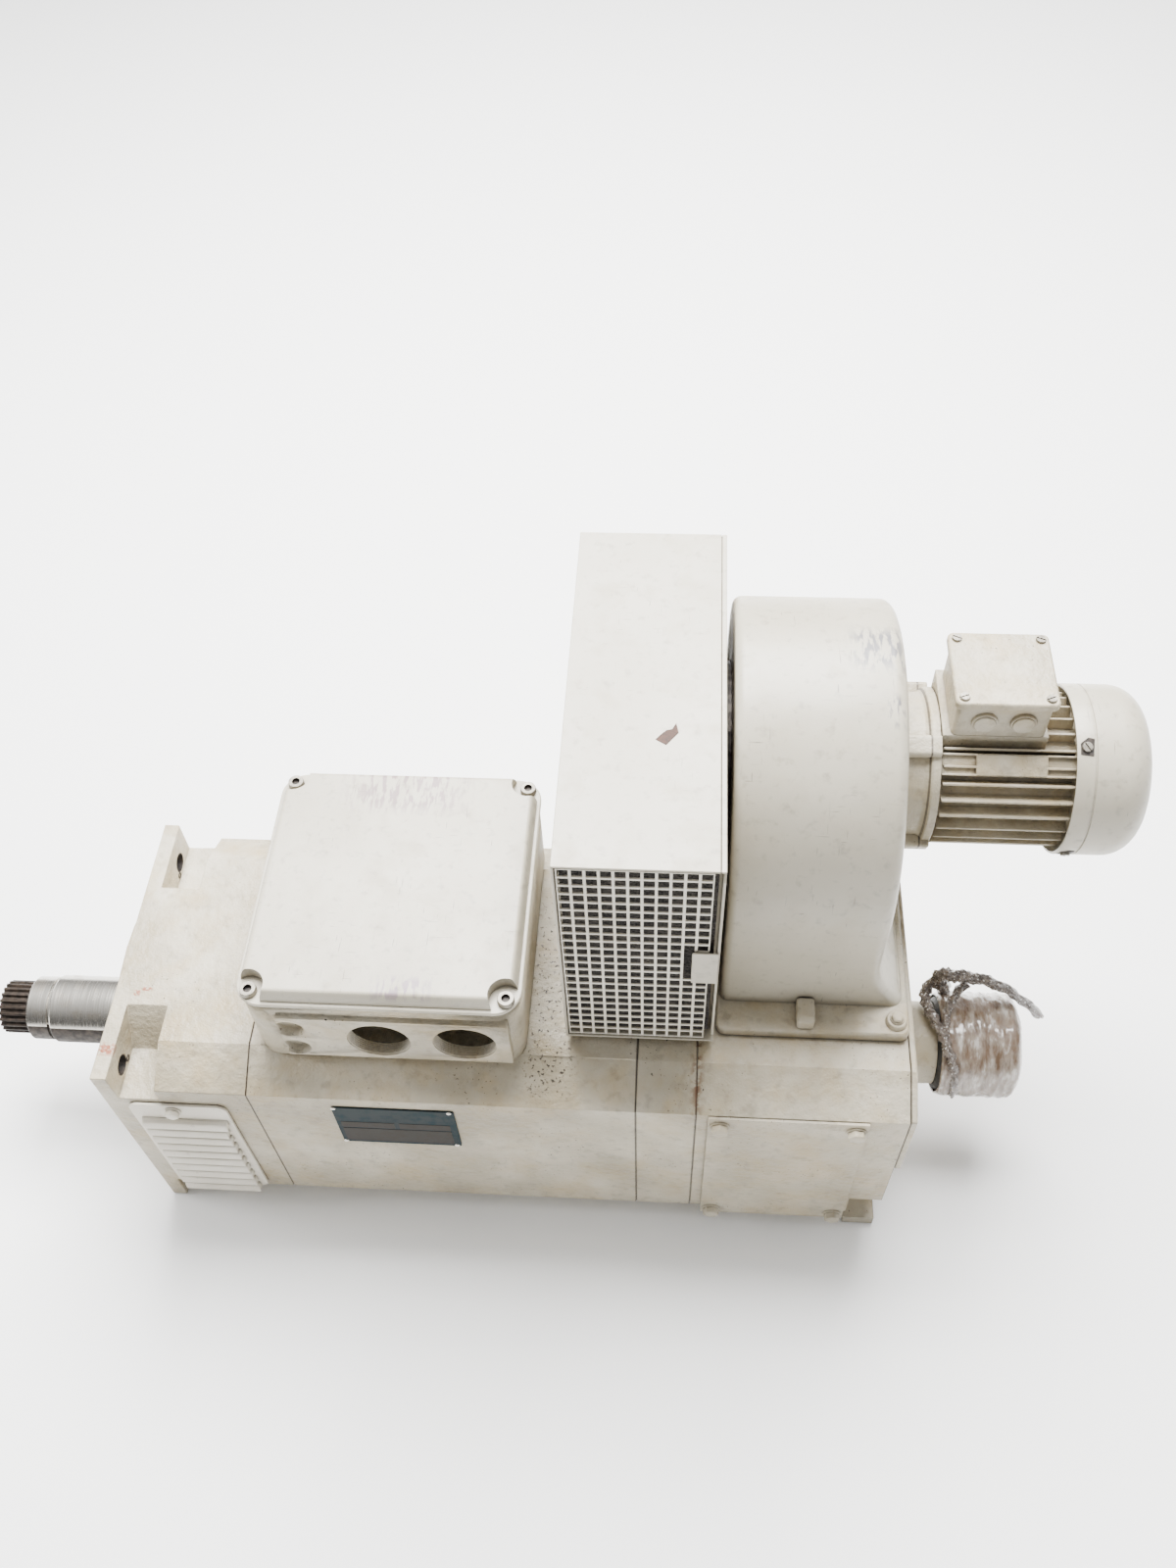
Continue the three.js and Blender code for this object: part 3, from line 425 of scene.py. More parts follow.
def rod(bm, start, end, radius, sides=48, tip=None):
    """A round bar, or a cone where its tip has another radius."""
    start, end = Vector(start), Vector(end)
    stand = facing((start + end) / 2, end - start)
    tip = radius if tip is None else tip
    made = bmesh.ops.create_cone(
        bm, cap_ends=True, segments=sides, radius1=radius, radius2=tip, depth=(end - start).length,
        matrix=stand)
    return made["verts"]


def pushed(bm, outline, push):
    """A flat outline of points, pushed along a vector into a solid."""
    base = bm.faces.new([bm.verts.new(point) for point in outline])
    grown = bmesh.ops.extrude_face_region(bm, geom=[base])
    moved = [v for v in grown["geom"] if isinstance(v, bmesh.types.BMVert)]
    bmesh.ops.translate(bm, verts=moved, vec=push)
    return [base, *moved]


def turned(bm, profile, centre=(0, 0), steps=96):
    """A closed profile of (x, radius) points, spun about an axis along X."""
    y, z = centre
    points = [bm.verts.new((x, y, z + r)) for x, r in profile]
    edges = [bm.edges.new(pair) for pair in zip(points, points[1:] + points[:1])]
    bmesh.ops.spin(
        bm, geom=points + edges, cent=(0, y, z), axis=(1, 0, 0), angle=2 * math.pi, steps=steps,
        use_merge=True)


def lofted(bm, rings):
    """A skin through closed rings of points."""
    loops = []
    for ring in rings:
        points = [bm.verts.new(p) for p in ring]
        loops.append([bm.edges.new(pair) for pair in zip(points, points[1:] + points[:1])])
    for one, other in zip(loops, loops[1:]):
        bmesh.ops.bridge_loops(bm, edges=one + other)
    return loops


def perforated(bm, xs, zs, y, thick, slot=(-1, 0, 0)):
    """A sheet across Y, cut into cells at xs and zs, with every second cell in both ways open.
    A slot is a column of cells, and the first and last row that are open in it."""
    across, up = len(xs) - 1, len(zs) - 1
    made = bmesh.ops.create_grid(bm, x_segments=across, y_segments=up, size=1)
    for v in made["verts"]:
        i = round((v.co.x + 1) / 2 * across)
        j = round((v.co.y + 1) / 2 * up)
        v.co = (i, j, 0)
    faces = list(set(f for v in made["verts"] for f in v.link_faces))
    holes = []
    for face in faces:
        i, j = (int(c) for c in face.calc_center_median()[:2])
        if (i % 2 and j % 2) or (i == slot[0] and slot[1] <= j <= slot[2]):
            holes.append(face)
    solid = [f for f in faces if f not in holes]
    for v in made["verts"]:
        i, j = round(v.co.x), round(v.co.y)
        v.co = (xs[i], y, zs[j])
    bmesh.ops.delete(bm, geom=holes, context="FACES")
    grown = bmesh.ops.extrude_face_region(bm, geom=solid)
    moved = [v for v in grown["geom"] if isinstance(v, bmesh.types.BMVert)]
    bmesh.ops.translate(bm, verts=moved, vec=(0, thick, 0))
    return [v for f in solid if f.is_valid for v in f.verts] + moved


def cells(start, end, count, hole):
    """Cut lines for `count` holes spread evenly from start to end."""
    pitch = (end - start) / count
    lines = [start]
    for i in range(count):
        middle = start + (i + 0.5) * pitch
        lines += [middle - hole / 2, middle + hole / 2]
    return lines + [end]


def hex_bolt(bm, place, direction, across=13, height=5.5, twist=0.0):
    """A chamfered hexagon head on a thin washer."""
    stand = facing(place, direction) @ Matrix.Rotation(twist, 4, "Z")
    washer = bmesh.ops.create_cone(
        bm, cap_ends=True, segments=28, radius1=across * 0.66, radius2=across * 0.64, depth=1.6,
        matrix=stand @ Matrix.Translation((0, 0, 0.8)))
    head = bmesh.ops.create_cone(
        bm, cap_ends=True, segments=6, radius1=across / math.sqrt(3), radius2=across / math.sqrt(3),
        depth=height, matrix=stand @ Matrix.Translation((0, 0, 1.6 + height / 2)))
    top = [e for e in set(e for v in head["verts"] for e in v.link_edges)
           if all((stand.inverted() @ v.co).z > 1.5 + height * 0.9 for v in e.verts)]
    bmesh.ops.bevel(bm, geom=top, offset=0.9, segments=2, profile=0.5, affect="EDGES", material=-1)
    return washer


def socket_screw(bm, place, direction, radius=6.2, height=4.5):
    """A round head with a hexagon socket sunk in it."""
    stand = facing(place, direction)
    head = bmesh.ops.create_cone(
        bm, cap_ends=True, segments=30, radius1=radius, radius2=radius * 0.94, depth=height,
        matrix=stand @ Matrix.Translation((0, 0, height / 2)))
    faces = set(f for v in head["verts"] for f in v.link_faces)
    top = max(faces, key=lambda f: (stand.inverted() @ f.calc_center_median()).z)
    bmesh.ops.inset_region(bm, faces=[top], thickness=radius * 0.46)
    grown = bmesh.ops.extrude_face_region(bm, geom=[top])
    moved = [v for v in grown["geom"] if isinstance(v, bmesh.types.BMVert)]
    if top.is_valid:
        bmesh.ops.delete(bm, geom=[top], context="FACES_ONLY")
    bmesh.ops.translate(bm, verts=moved, vec=-Vector(direction).normalized() * height * 0.7)
    # the socket's walls and floor take the second, near-black material: painted shade
    for face in set(f for v in moved for f in v.link_faces):
        face.material_index = 1


def joined(bm, part):
    """Puts a shape that was made apart into another."""
    spare = bpy.data.meshes.new("part")
    part.to_mesh(spare)
    part.free()
    bm.from_mesh(spare)
    bpy.data.meshes.remove(spare)


def swung(bm, points, degrees):
    """Turns points about the X axis, and moves them out to the blower's axis."""
    turn = Matrix.Rotation(math.radians(degrees), 3, "X")
    bmesh.ops.rotate(bm, verts=points, cent=(0, 0, 0), matrix=turn)
    bmesh.ops.translate(bm, verts=points, vec=(0, *BLOWER))


def slotted_screw(bm, place, direction, radius=4.2, height=2.4, twist=0.6):
    """A flat round head cut across by a screwdriver slot."""
    stand = facing(place, direction) @ Matrix.Rotation(twist, 4, "Z")
    bmesh.ops.create_cone(
        bm, cap_ends=True, segments=20, radius1=radius, radius2=radius, depth=height * 0.5,
        matrix=stand @ Matrix.Translation((0, 0, height * 0.25)))
    for side in (1, -1):
        half = bmesh.new()
        bmesh.ops.create_cone(
            half, cap_ends=True, segments=20, radius1=radius, radius2=radius * 0.92, depth=height * 0.5)
        shape = half.verts[:] + half.edges[:] + half.faces[:]
        bmesh.ops.bisect_plane(
            half, geom=shape, plane_co=(0.6 * side, 0, 0), plane_no=(-side, 0, 0), clear_outer=True)
        bmesh.ops.holes_fill(half, edges=half.edges, sides=0)
        half.transform(stand @ Matrix.Translation((0, 0, height * 0.75)))
        joined(bm, half)


def made(name, bm, material, slot, body="machine", replaces=(), edge=0.0, smooth=32, in_mm=True, steps=2):
    """Turns a shape into a finished piece on its body, its edges rounded `edge` mm."""
    if in_mm:
        bmesh.ops.remove_doubles(bm, verts=bm.verts, dist=0.005)
        bmesh.ops.recalc_face_normals(bm, faces=bm.faces)
        bm.transform(TO_FRAME)
    mesh = bpy.data.meshes.new(name)
    bm.to_mesh(mesh)
    bm.free()
    piece = bpy.data.objects.new(name, mesh)
    bpy.context.scene.collection.objects.link(piece)
    materials = material if isinstance(material, list) else [material]
    for one in materials:
        mesh.materials.append(one)
    mesh.shade_smooth()
    mesh.set_sharp_from_angle(angle=math.radians(smooth))
    if edge:
        rounding = piece.modifiers.new("rounded_edges", "BEVEL")
        rounding.width = edge * MM
        rounding.segments = steps
        rounding.limit_method = "ANGLE"
        rounding.angle_limit = math.radians(28)
        rounding.use_clamp_overlap = True
        rounding.harden_normals = False
    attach(piece, body)
    if replaces:
        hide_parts(*replaces)
    return piece


def casting(node, material, slot, edge, body="machine", smooth=32, flats=True):
    """The CAD part itself, with its edges rounded as cast or pressed metal's are."""
    bm = bmesh.new()
    bm.from_mesh(frame["nodes"][node].data)
    bmesh.ops.remove_doubles(bm, verts=bm.verts, dist=1e-5)
    if flats:
        bmesh.ops.dissolve_limit(bm, angle_limit=math.radians(1), verts=bm.verts, edges=bm.edges)
    return made(node + "_cast", bm, material, slot, body, (node,), edge, smooth, in_mm=False, steps=3)


# ---------------------------------------------------------------- motor frame


def motor_frame():
    casting("drive_end_shield", CAST, "frame_paint", 2.6)
    casting("stator_frame", CAST, "frame_paint", 2.2)
    casting("brush_end_housing", CAST, "frame_paint", 2.2)
    casting("brush_end_plate", CAST, "frame_paint", 1.5)
    casting("inspection_cover_front", CAST, "frame_paint", 0.9)
    casting("inspection_cover_rear", CAST, "frame_paint", 0.9)


COVER_BOLTS = ((533, 98), (647, 98), (533, -93), (647, -93))


def cover_bolts():
    for i, (x, z) in enumerate(COVER_BOLTS):
        front = bmesh.new()
        hex_bolt(front, (x, -HALF - 3, z), (0, -1, 0), twist=0.3 * i)
        plain = (f"cover_bolt_{i + 1}",)
        made(f"front_cover_bolt_{i + 1}", front, CAST, "frame_paint", replaces=plain, edge=0.3)
    rear = bmesh.new()
    for i, (x, z) in enumerate(COVER_BOLTS):
        hex_bolt(rear, (x, HALF + 3, z), (0, 1, 0), twist=0.5 * i)
    made("rear_cover_bolts", rear, CAST, "frame_paint", edge=0.3)


def bolt_holes():
    """Near-black linings in the flange's bolt holes, and a near-black cup in the small tapped hole beside
    each: painted shade in the holes.
    """
    bm = bmesh.new()
    for y, z in ((1, 1), (-1, 1), (-1, -1), (1, -1)):
        turned(bm, [(0.3, 8.6), (13.7, 8.6), (13.7, 9.2), (0.3, 9.2)], (y * 106, z * 106), 40)
        turned(bm, [(14.05, 1.2), (14.05, 3.4), (14.5, 3.2), (14.3, 1.2)], (y * 96, z * 99), 20)
    made("bolt_hole_walls", bm, HOLE_SHADE, "dark_steel", smooth=40)


def louvre(side):
    """A flat plate with curved slats over its slots, and a screw at the top."""
    bm = bmesh.new()
    skin = HALF + 0.3
    slots = [z for i in range(9) for z in (49 - i * 16 - 2, 49 - i * 16 + 2)]
    zs = [-91, *sorted(slots), 90]
    perforated(bm, [20, 30, 96, 107], zs, -skin - 2.7, 2.7)
    rounding = []
    for edge in bm.edges:
        near, far = (v.co for v in edge.verts)
        at_end = abs(abs(near.x - 63.5) - 43.5) < 0.1
        if at_end and abs(abs(near.z + 0.5) - 90.5) < 0.1 and abs(near.y - far.y) > 1:
            rounding.append(edge)
    bmesh.ops.bevel(bm, geom=rounding, offset=9, segments=6, profile=0.5, affect="EDGES", material=-1)
    for i in range(10):
        z = 64 - i * 16
        hood = [(0, 0), (-2.4, -0.3), (-4.6, -1.9), (-5.9, -5), (-6.2, -11.6), (-5.1, -11.8), (-4.6, -6),
                (-3.2, -3.4), (0, -2.2)]
        wide = 103 if i == 0 else 100
        outline = [(27, -skin - 2.6 + y, z + up) for y, up in hood]
        pushed(bm, outline, (wide - 27, 0, 0))
        for x in (27, wide):
            closing = ((-2.6, 0), (-5.6, -3), (-8.4, -10), (-2.6, -10))
            end = [(x, -skin + y, z + up) for y, up in closing]
            pushed(bm, end, (-1.4 if x > 50 else 1.4, 0, 0))
    hex_bolt(bm, (59, -skin - 2.7, 80), (0, -1, 0), across=11, height=4.6)
    if side > 0:
        bmesh.ops.scale(bm, vec=(1, -1, 1), verts=bm.verts)
    return bm


def louvres():
    made("front_louvre", louvre(-1), WHITE, "louvre_paint", replaces=("louvre_front",), edge=0.5)
    made("rear_louvre", louvre(1), WHITE, "louvre_paint", replaces=("louvre_rear",), edge=0.5)


def nameplate():
    """A dyed plate with a clear border, two lower panels and four rivets. It is left blank."""
    bm = bmesh.new()
    soft_block(bm, (201, -HALF - 1.5, 26), (307, -HALF - 0.3, 98), 1, 2)
    made("nameplate_sheet", bm, TEAL, "nameplate", replaces=("nameplate",), edge=0.3)
    panels = bmesh.new()
    for left, right, low, high in ((205, 301, 31, 57), (205, 252, 59, 70), (256, 301, 59, 70)):
        soft_block(panels, (left, -HALF - 1.75, low), (right, -HALF - 1.4, high), 1, 1)
    made("nameplate_panels", panels, PANEL, "nameplate")
    rivets = bmesh.new()
    for x in (203, 303):
        for z in (28, 96):
            dome = bmesh.ops.create_uvsphere(rivets, u_segments=14, v_segments=8, radius=2.3)["verts"]
            bmesh.ops.scale(rivets, vec=(1, 0.5, 1), verts=dome)
            bmesh.ops.translate(rivets, vec=(x, -HALF - 1.5, z), verts=dome)
    made("nameplate_rivets", rivets, STEEL, "bright_steel")


# ---------------------------------------------------------------- shaft


def shaft():
    bm = bmesh.new()
    turned(bm, [
        (-131, 0), (-131, 29), (-129.5, 30.5), (-110.5, 30.5), (-110, 29.4), (-107.5, 29.4), (-107, 31.8),
        (-106, 32.5), (17, 32.5), (17, 27.5), (150, 27.5), (150, 36), (560, 36), (560, 20), (707, 20),
        (708, 19), (708, 0)])
    # the lower part of the shaft's outer end takes the dark oily steel: a painted dark reflection
    for face in bm.faces:
        middle = face.calc_center_median()
        if middle.x < 15 and middle.z < 14:
            face.material_index = 1
    made("main_shaft", bm, [STEEL, OILY_STEEL_AND_DARK_REFLECTION], "bright_steel", "rotor", ("shaft",))
    teeth = bmesh.new()
    count = 24
    step = 2 * math.pi / count
    outline = []
    for i in range(count):
        for part, r in ((-0.34, 22.7), (-0.2, 24.9), (-0.15, 25.5), (0.15, 25.5), (0.2, 24.9), (0.34, 22.7)):
            angle = (i + part) * step
            outline.append((-159.8, r * math.cos(angle), r * math.sin(angle)))
    pushed(teeth, outline, (29, 0, 0))
    made("shaft_spline", teeth, OILY_STEEL_AND_DARK_REFLECTION, "dark_steel", "rotor", edge=0.35)
    centre = bmesh.new()
    turned(centre, [(-159.9, 3), (-159.9, 9), (-159.4, 10), (-158, 10), (-156, 3)], steps=32)
    made("shaft_centre_bore", centre, OILY_STEEL_AND_DARK_REFLECTION, "dark_steel", "rotor")


# ---------------------------------------------------------------- main terminal box

BOX_X, BOX_Y, BOX_Z = 254.5, 12, HALF + 2
BOX_FRONT = BOX_Y - 116
LID_RIM = BOX_Z + 86.3
LID_TOP = BOX_Z + 102


def box_outline(inset, radius, z, notch=0.0):
    """The box's square outline with round corners, or with round notches at the screws."""
    half = 116 - inset
    points = []
    for quarter in range(4):
        base = quarter * math.pi / 2 + math.pi / 4
        out = Vector((math.cos(base), math.sin(base))) * math.sqrt(2)
        spread = math.pi / 4
        if notch:
            spread = math.radians(135) - math.acos((12 - inset) / notch)
        for i in range(15):
            swing = base + (i / 14 - 0.5) * 2 * spread
            point = out * (half - radius) + radius * Vector((math.cos(swing), math.sin(swing)))
            if notch:
                swing = base + math.pi - (i / 14 - 0.5) * 2 * spread
                point = out * 104 + notch * Vector((math.cos(swing), math.sin(swing)))
            points.append((BOX_X + point.x, BOX_Y + point.y, z))
    return points


def terminal_lid():
    """A cast lid: a thin flat rim, a drafted crown, and a round notch at each screw."""
    bm = bmesh.new()
    pushed(bm, box_outline(0, 22, LID_RIM), (0, 0, 3.7))
    made("main_box_lid_rim", bm, SHEET, "sheet_paint", edge=1.0)
    crown = bmesh.new()
    base = LID_RIM + 3
    levels = [
        (3.2, base), (4.2, base + 6), (6.2, LID_TOP - 2.6), (7.0, LID_TOP - 1.0), (8.2, LID_TOP - 0.2),
        (9.6, LID_TOP)]
    loops = lofted(crown, [box_outline(inset, 0, z, notch=14) for inset, z in levels])
    bmesh.ops.holes_fill(crown, edges=loops[0] + loops[-1], sides=0)
    made("main_box_lid_crown", crown, SHEET, "sheet_paint", replaces=("terminal_box_lid",), smooth=50)


def terminal_box():
    casting("terminal_box", CAST, "frame_paint", 0, smooth=40, flats=False)
    terminal_lid()
    for i, (x, y) in enumerate([(-1, -1), (1, -1), (1, 1), (-1, 1)]):
        bm = bmesh.new()
        socket_screw(bm, (BOX_X + x * 104, BOX_Y + y * 104, LID_RIM + 4), (0, 0, 1), 7, 5)
        plain = (f"lid_screw_{i + 1}",)
        made(f"lid_socket_screw_{i + 1}", bm, [SCREW, HOLE_SHADE], "bright_steel", replaces=plain, edge=0.3)
    for i, x in enumerate((-3.5, 67.5)):
        bm = bmesh.new()
        front = BOX_FRONT - 2.5
        turns = [(front + 0.6 + n * 0.85, 25.5 if n % 2 else 26.3) for n in range(13)]
        turned(bm, [*turns, (front + 11.6, 26.45), (front + 0.4, 26.45)], steps=64)
        bmesh.ops.rotate(bm, verts=bm.verts, cent=(0, 0, 0), matrix=Matrix.Rotation(math.pi / 2, 3, "Z"))
        bmesh.ops.translate(bm, verts=bm.verts, vec=(BOX_X + x, 0, BOX_Z + 41))
        made(f"entry_thread_{i + 1}", bm, CAST, "frame_paint")


# ---------------------------------------------------------------- blower

SCROLL_LOW = HALF + 12.6 - BLOWER[1]
FINS = 28


def volute(x, inset, lift=0.0, flare=0.0):
    """The scroll's outline at x, pulled in by inset: straight front, then a shrinking spiral.
    Its foot is raised by lift, and spreads out along X at the air outlet by flare."""
    y0, z0 = BLOWER
    tongue, outlet = -50 - inset, 161 - inset
    low = SCROLL_LOW + lift
    spiral = []
    for i in range(141):
        travel = 280 * i / 140
        angle = math.radians(180 - travel)
        reach = outlet - 0.17 * travel
        spiral.append((reach * math.cos(angle), reach * math.sin(angle)))
    y, z = spiral[-1]
    points = spiral + [(y + (tongue - y) * i / 4, z + (low - z) * i / 4) for i in range(1, 4)]
    points += [(tongue - (outlet + tongue) * i / 12, low) for i in range(13)]
    points += [(-outlet, low * (1 - i / 24)) for i in range(1, 24)]
    placed = []
    for y, z in points:
        rise = min(max((z - SCROLL_LOW) / 56, 0), 1)
        at_outlet = min(max((-40 - y) / 15, 0), 1)
        placed.append((x + flare * (1 - rise) ** 2 * at_outlet, y0 + y, z0 + z))
    return placed


def ring(x, radius, count=96):
    y0, z0 = BLOWER
    swing = [math.pi - i / count * 2 * math.pi for i in range(count)]
    return [(x, y0 + radius * math.cos(a), z0 + radius * math.sin(a)) for a in swing]


def scroll():
    """Pressed and seam-welded volute with rolled edges, spreading at its foot."""
    bm = bmesh.new()
    left, right, roll_left, roll_right, spread = 531, 660, 7, 10, 25
    rings = [ring(left, 66)]
    rings += [volute(left + roll_left * (1 - math.cos(a)), roll_left * (1 - math.sin(a)))
              for a in [i * math.pi / 10 for i in range(6)]]
    rings += [volute(right - roll_right * (1 - math.sin(a)), roll_right * (1 - math.cos(a)), flare=spread)
              for a in [i * math.pi / 12 for i in range(7)]]
    rings += [volute(right, inset, inset - roll_right, spread) for inset in (18, 28, 40)]
    rings += [ring(right, 30)]
    lofted(bm, rings)
    skin = made("scroll_shell", bm, SHEET, "sheet_paint", replaces=("scroll_housing",), smooth=40)
    wall = skin.modifiers.new("sheet_thickness", "SOLIDIFY")
    wall.thickness = 2.5 * MM
    wall.offset = -1


def blower_base():
    """A flat cast adapter plate with a lug against the scroll and bolt bosses."""
    bm = bmesh.new()
    top = HALF + 12.3
    soft_block(bm, (528, -68, HALF + 0.3), (690, 118, top), 2, 8)
    made("blower_base_plate", bm, CAST, "frame_paint", replaces=("blower_base",), edge=2.0)
    lug = bmesh.new()
    soft_block(lug, (595, -65, top - 1), (610, -41.5, top + 12), 2, 3)
    made("blower_base_lug", lug, CAST, "frame_paint", edge=1.5)
    bosses = bmesh.new()
    for x, y in ((679, -55), (679, 100), (540, 100)):
        rod(bosses, (x, y, top - 1), (x, y, top + 5), 9.5, 36, tip=8.2)
        hex_bolt(bosses, (x, y, top + 5), (0, 0, 1), across=9, height=3.6, twist=x)
    made("blower_base_bolts", bosses, CAST, "frame_paint", edge=0.6)


def blower_neck():
    """The fan motor's end bell: two round flanges, a waist, and four bolted lugs."""
    bm = bmesh.new()
    s = 660.3
    turned(bm, [
        (s, 11), (s, 70), (s + 5, 70), (s + 7, 68), (s + 10, 62.5), (s + 14, 61.5), (687, 61.5), (690, 63.5),
        (692, 66), (698.7, 66), (698.7, 50), (s + 34, 46), (s + 34, 30), (s + 12, 30), (s + 12, 11)], BLOWER)
    for angle in (25, 115, 205, 295):
        lug = bmesh.new()
        soft_block(lug, (s, -8.5, 54), (698.4, 8.5, 71), 0, 3)
        swung(lug, lug.verts, angle)
        joined(bm, lug)
    made("blower_motor_end_bell", bm, CAST, "frame_paint", replaces=("blower_motor_flange",), edge=0.8)


def blower_fins():
    """Die-cast barrel with 28 tapered cooling fins and a flat pad with two sunk ends."""
    bm = bmesh.new()
    turned(bm, [(699, 47), (699, 54), (812, 54), (812, 17), (802, 17), (802, 47)], BLOWER)
    for i in range(FINS):
        fin = block(bm, (699.2, -1.7, 52), (806, 1.7, 65))
        for v in fin:
            if v.co.z > 60:
                v.co.y *= 0.6
                v.co.x += 1.5 if v.co.x < 750 else -1.5
        swung(bm, fin, i * 360 / FINS)
    swung(bm, block(bm, (699.2, -21, 42), (782, 49, 66)), 0)
    pad = [((699.2, -9, 50), (806, 9, 62)), ((726, -9, 61), (782, 9, 65))]
    pad += [((699.2, side - 0.9, 61), (806, side + 0.9, 65)) for side in (-8.1, 8.1)]
    for low, high in pad:
        swung(bm, block(bm, low, high), 37)
    made("blower_motor_fins", bm, CAST, "frame_paint", replaces=("blower_motor_housing",), edge=0.6)


def fan_cowl():
    """Deep-drawn cowl with a rolled collar, side screws and a ringed grille in its end."""
    bm = bmesh.new()
    r, wall, start, end, curve = 71.5, 2, 803, 868, 27
    bend = [(end - curve + curve * math.sin(a), r - curve + curve * math.cos(a)) for a in
            [i * math.pi / 20 for i in range(11)]]
    inner = [(end - curve + (curve - wall) * math.sin(a), r - curve + (curve - wall) * math.cos(a)) for a in
             [i * math.pi / 20 for i in range(10, -1, -1)]]
    turned(bm, [
        (start, r - wall), (start, r - 0.5), (start + 1, r), (817, r), (817.6, r - 0.9), (818.6, r - 0.9),
        (819.2, r), *bend, (end, 44), (end - wall, 44), *inner], BLOWER)
    for outer in (44.2, 37, 30, 23, 16):
        turned(bm, [(end - 2, outer), (end, outer), (end, outer - 3.4), (end - 2, outer - 3.4)], BLOWER)
    for i in range(4):
        spoke = block(bm, (end - 2, -1.8, 10), (end - 0.2, 1.8, 45))
        swung(bm, spoke, 45 + 90 * i)
    made("blower_fan_cowl", bm, SHEET, "sheet_paint", replaces=("fan_cowl",))
    screws = bmesh.new()
    notches = bmesh.new()
    for degrees in (24, 114, 204, 294):
        a = math.radians(degrees)
        away = Vector((0, -math.sin(a), math.cos(a)))
        spot = Vector((810.5, *BLOWER)) + away * (r - 0.4)
        slotted_screw(screws, spot, away, 4.2, 2.6)
        side = away.cross(Vector((1, 0, 0)))
        # a thin near-black sheet round each screw: painted shade standing in for the notch in the cowl
        outline = [spot + along * Vector((1, 0, 0)) + across * side + away * 0.25 for along, across in
                   ((-5, -6), (5, -7), (6, 7), (1, 8), (-5, 3))]
        pushed(notches, outline, away * 0.35)
    made("cowl_screws", screws, SCREW, "bright_steel")
    made("cowl_screw_notch_shades", notches, HOLE_SHADE, "dark_steel")


def small_terminal_box():
    casting("blower_terminal_box", CAST, "frame_paint", 1.2)
    lid = bmesh.new()
    x, y = 742, BLOWER[0] + 14
    soft_block(lid, (x - 40, y - 38, 372.3), (x + 40, y + 38, SMALL_LID_TOP - 0.4), 2, 5)
    made("blower_box_lid", lid, CAST, "frame_paint", replaces=("blower_terminal_lid",), edge=1.6)
    screws = bmesh.new()
    for dx in (-33, 33):
        for dy in (-31, 31):
            slotted_screw(screws, (x + dx, y + dy, SMALL_LID_TOP - 0.6), (0, 0, 1), 4, 2.2, dx + dy)
    made("blower_box_lid_screws", screws, SCREW, "bright_steel")
    for i, dx in enumerate((-14, 16)):
        bm = bmesh.new()
        face = y - 35
        rod(bm, (x + dx, face - 2.6, 356), (x + dx, face + 8, 356), 10.2, 32)
        rod(bm, (x + dx, face - 4, 356), (x + dx, face - 2, 356), 8.6, 32)
        made(f"entry_plug_disc_{i + 1}", bm, CAST, "frame_paint", replaces=(f"entry_plug_{i + 1}",), edge=0.6)


# ---------------------------------------------------------------- filter box

LEFT, RIGHT, FRONT, REAR, LOW, TOP = 402, 525, -80, 258, 144, 401
PANEL_LEFT, PANEL_RIGHT, PANEL_LOW, PANEL_TOP = 405, 517, 148, 397


def filter_box():
    """A folded sheet box: square-punched left side, plain elsewhere, a round hole to the fan."""
    bm = bmesh.new()
    block(bm, (LEFT, FRONT, TOP - 2), (RIGHT - 4.3, REAR, TOP))
    block(bm, (RIGHT - 3.9, FRONT, TOP - 2), (RIGHT, REAR, TOP - 0.2))
    block(bm, (LEFT, FRONT, LOW), (RIGHT, REAR, LOW + 2))
    block(bm, (LEFT + 2.1, REAR - 2, LOW + 2.1), (RIGHT - 2.1, REAR, TOP - 2.1))
    side = bmesh.new()
    ys = cells(FRONT + 10, REAR - 10, 30, 8)
    ys[0], ys[-1] = FRONT, REAR
    zs = cells(PANEL_LOW + 2, PANEL_TOP - 4, 23, 8)
    zs[0], zs[-1] = LOW + 2.1, TOP - 2.1
    perforated(side, ys, zs, 0, 2)
    bmesh.ops.rotate(side, verts=side.verts, cent=(0, 0, 0), matrix=Matrix.Rotation(math.pi / 2, 3, "Z"))
    bmesh.ops.translate(side, verts=side.verts, vec=(LEFT + 2, 0, 0))
    joined(bm, side)
    y0, z0 = BLOWER
    hole = ring(RIGHT - 2, 66, 96)
    square = []
    for x, y, z in hole:
        reach = Vector((y - y0, z - z0)).normalized()
        far_y = (REAR - y0 if reach.x > 0 else y0 - FRONT) / max(abs(reach.x), 1e-6)
        far_z = (TOP - 2.1 - z0 if reach.y > 0 else z0 - LOW - 2.1) / max(abs(reach.y), 1e-6)
        far = min(far_y, far_z)
        square.append((x, y0 + reach.x * far, z0 + reach.y * far))
    wall = bmesh.new()
    lofted(wall, [hole, square])
    grown = bmesh.ops.extrude_face_region(wall, geom=wall.faces[:])
    moved = [v for v in grown["geom"] if isinstance(v, bmesh.types.BMVert)]
    bmesh.ops.translate(wall, verts=moved, vec=(2, 0, 0))
    joined(bm, wall)
    made("filter_box_sheets", bm, SHEET, "sheet_paint", replaces=("filter_box",), edge=0.5)
    scrap = bmesh.new()
    tear = [(472, 36), (480, 31), (489, 43), (487, 52), (484, 46), (480, 45), (476, 41)]
    pushed(scrap, [(x, y, TOP + 0.05) for x, y in tear], (0, 0, 0.35))
    made("tape_scrap", scrap, TAPE, "sheet_paint")


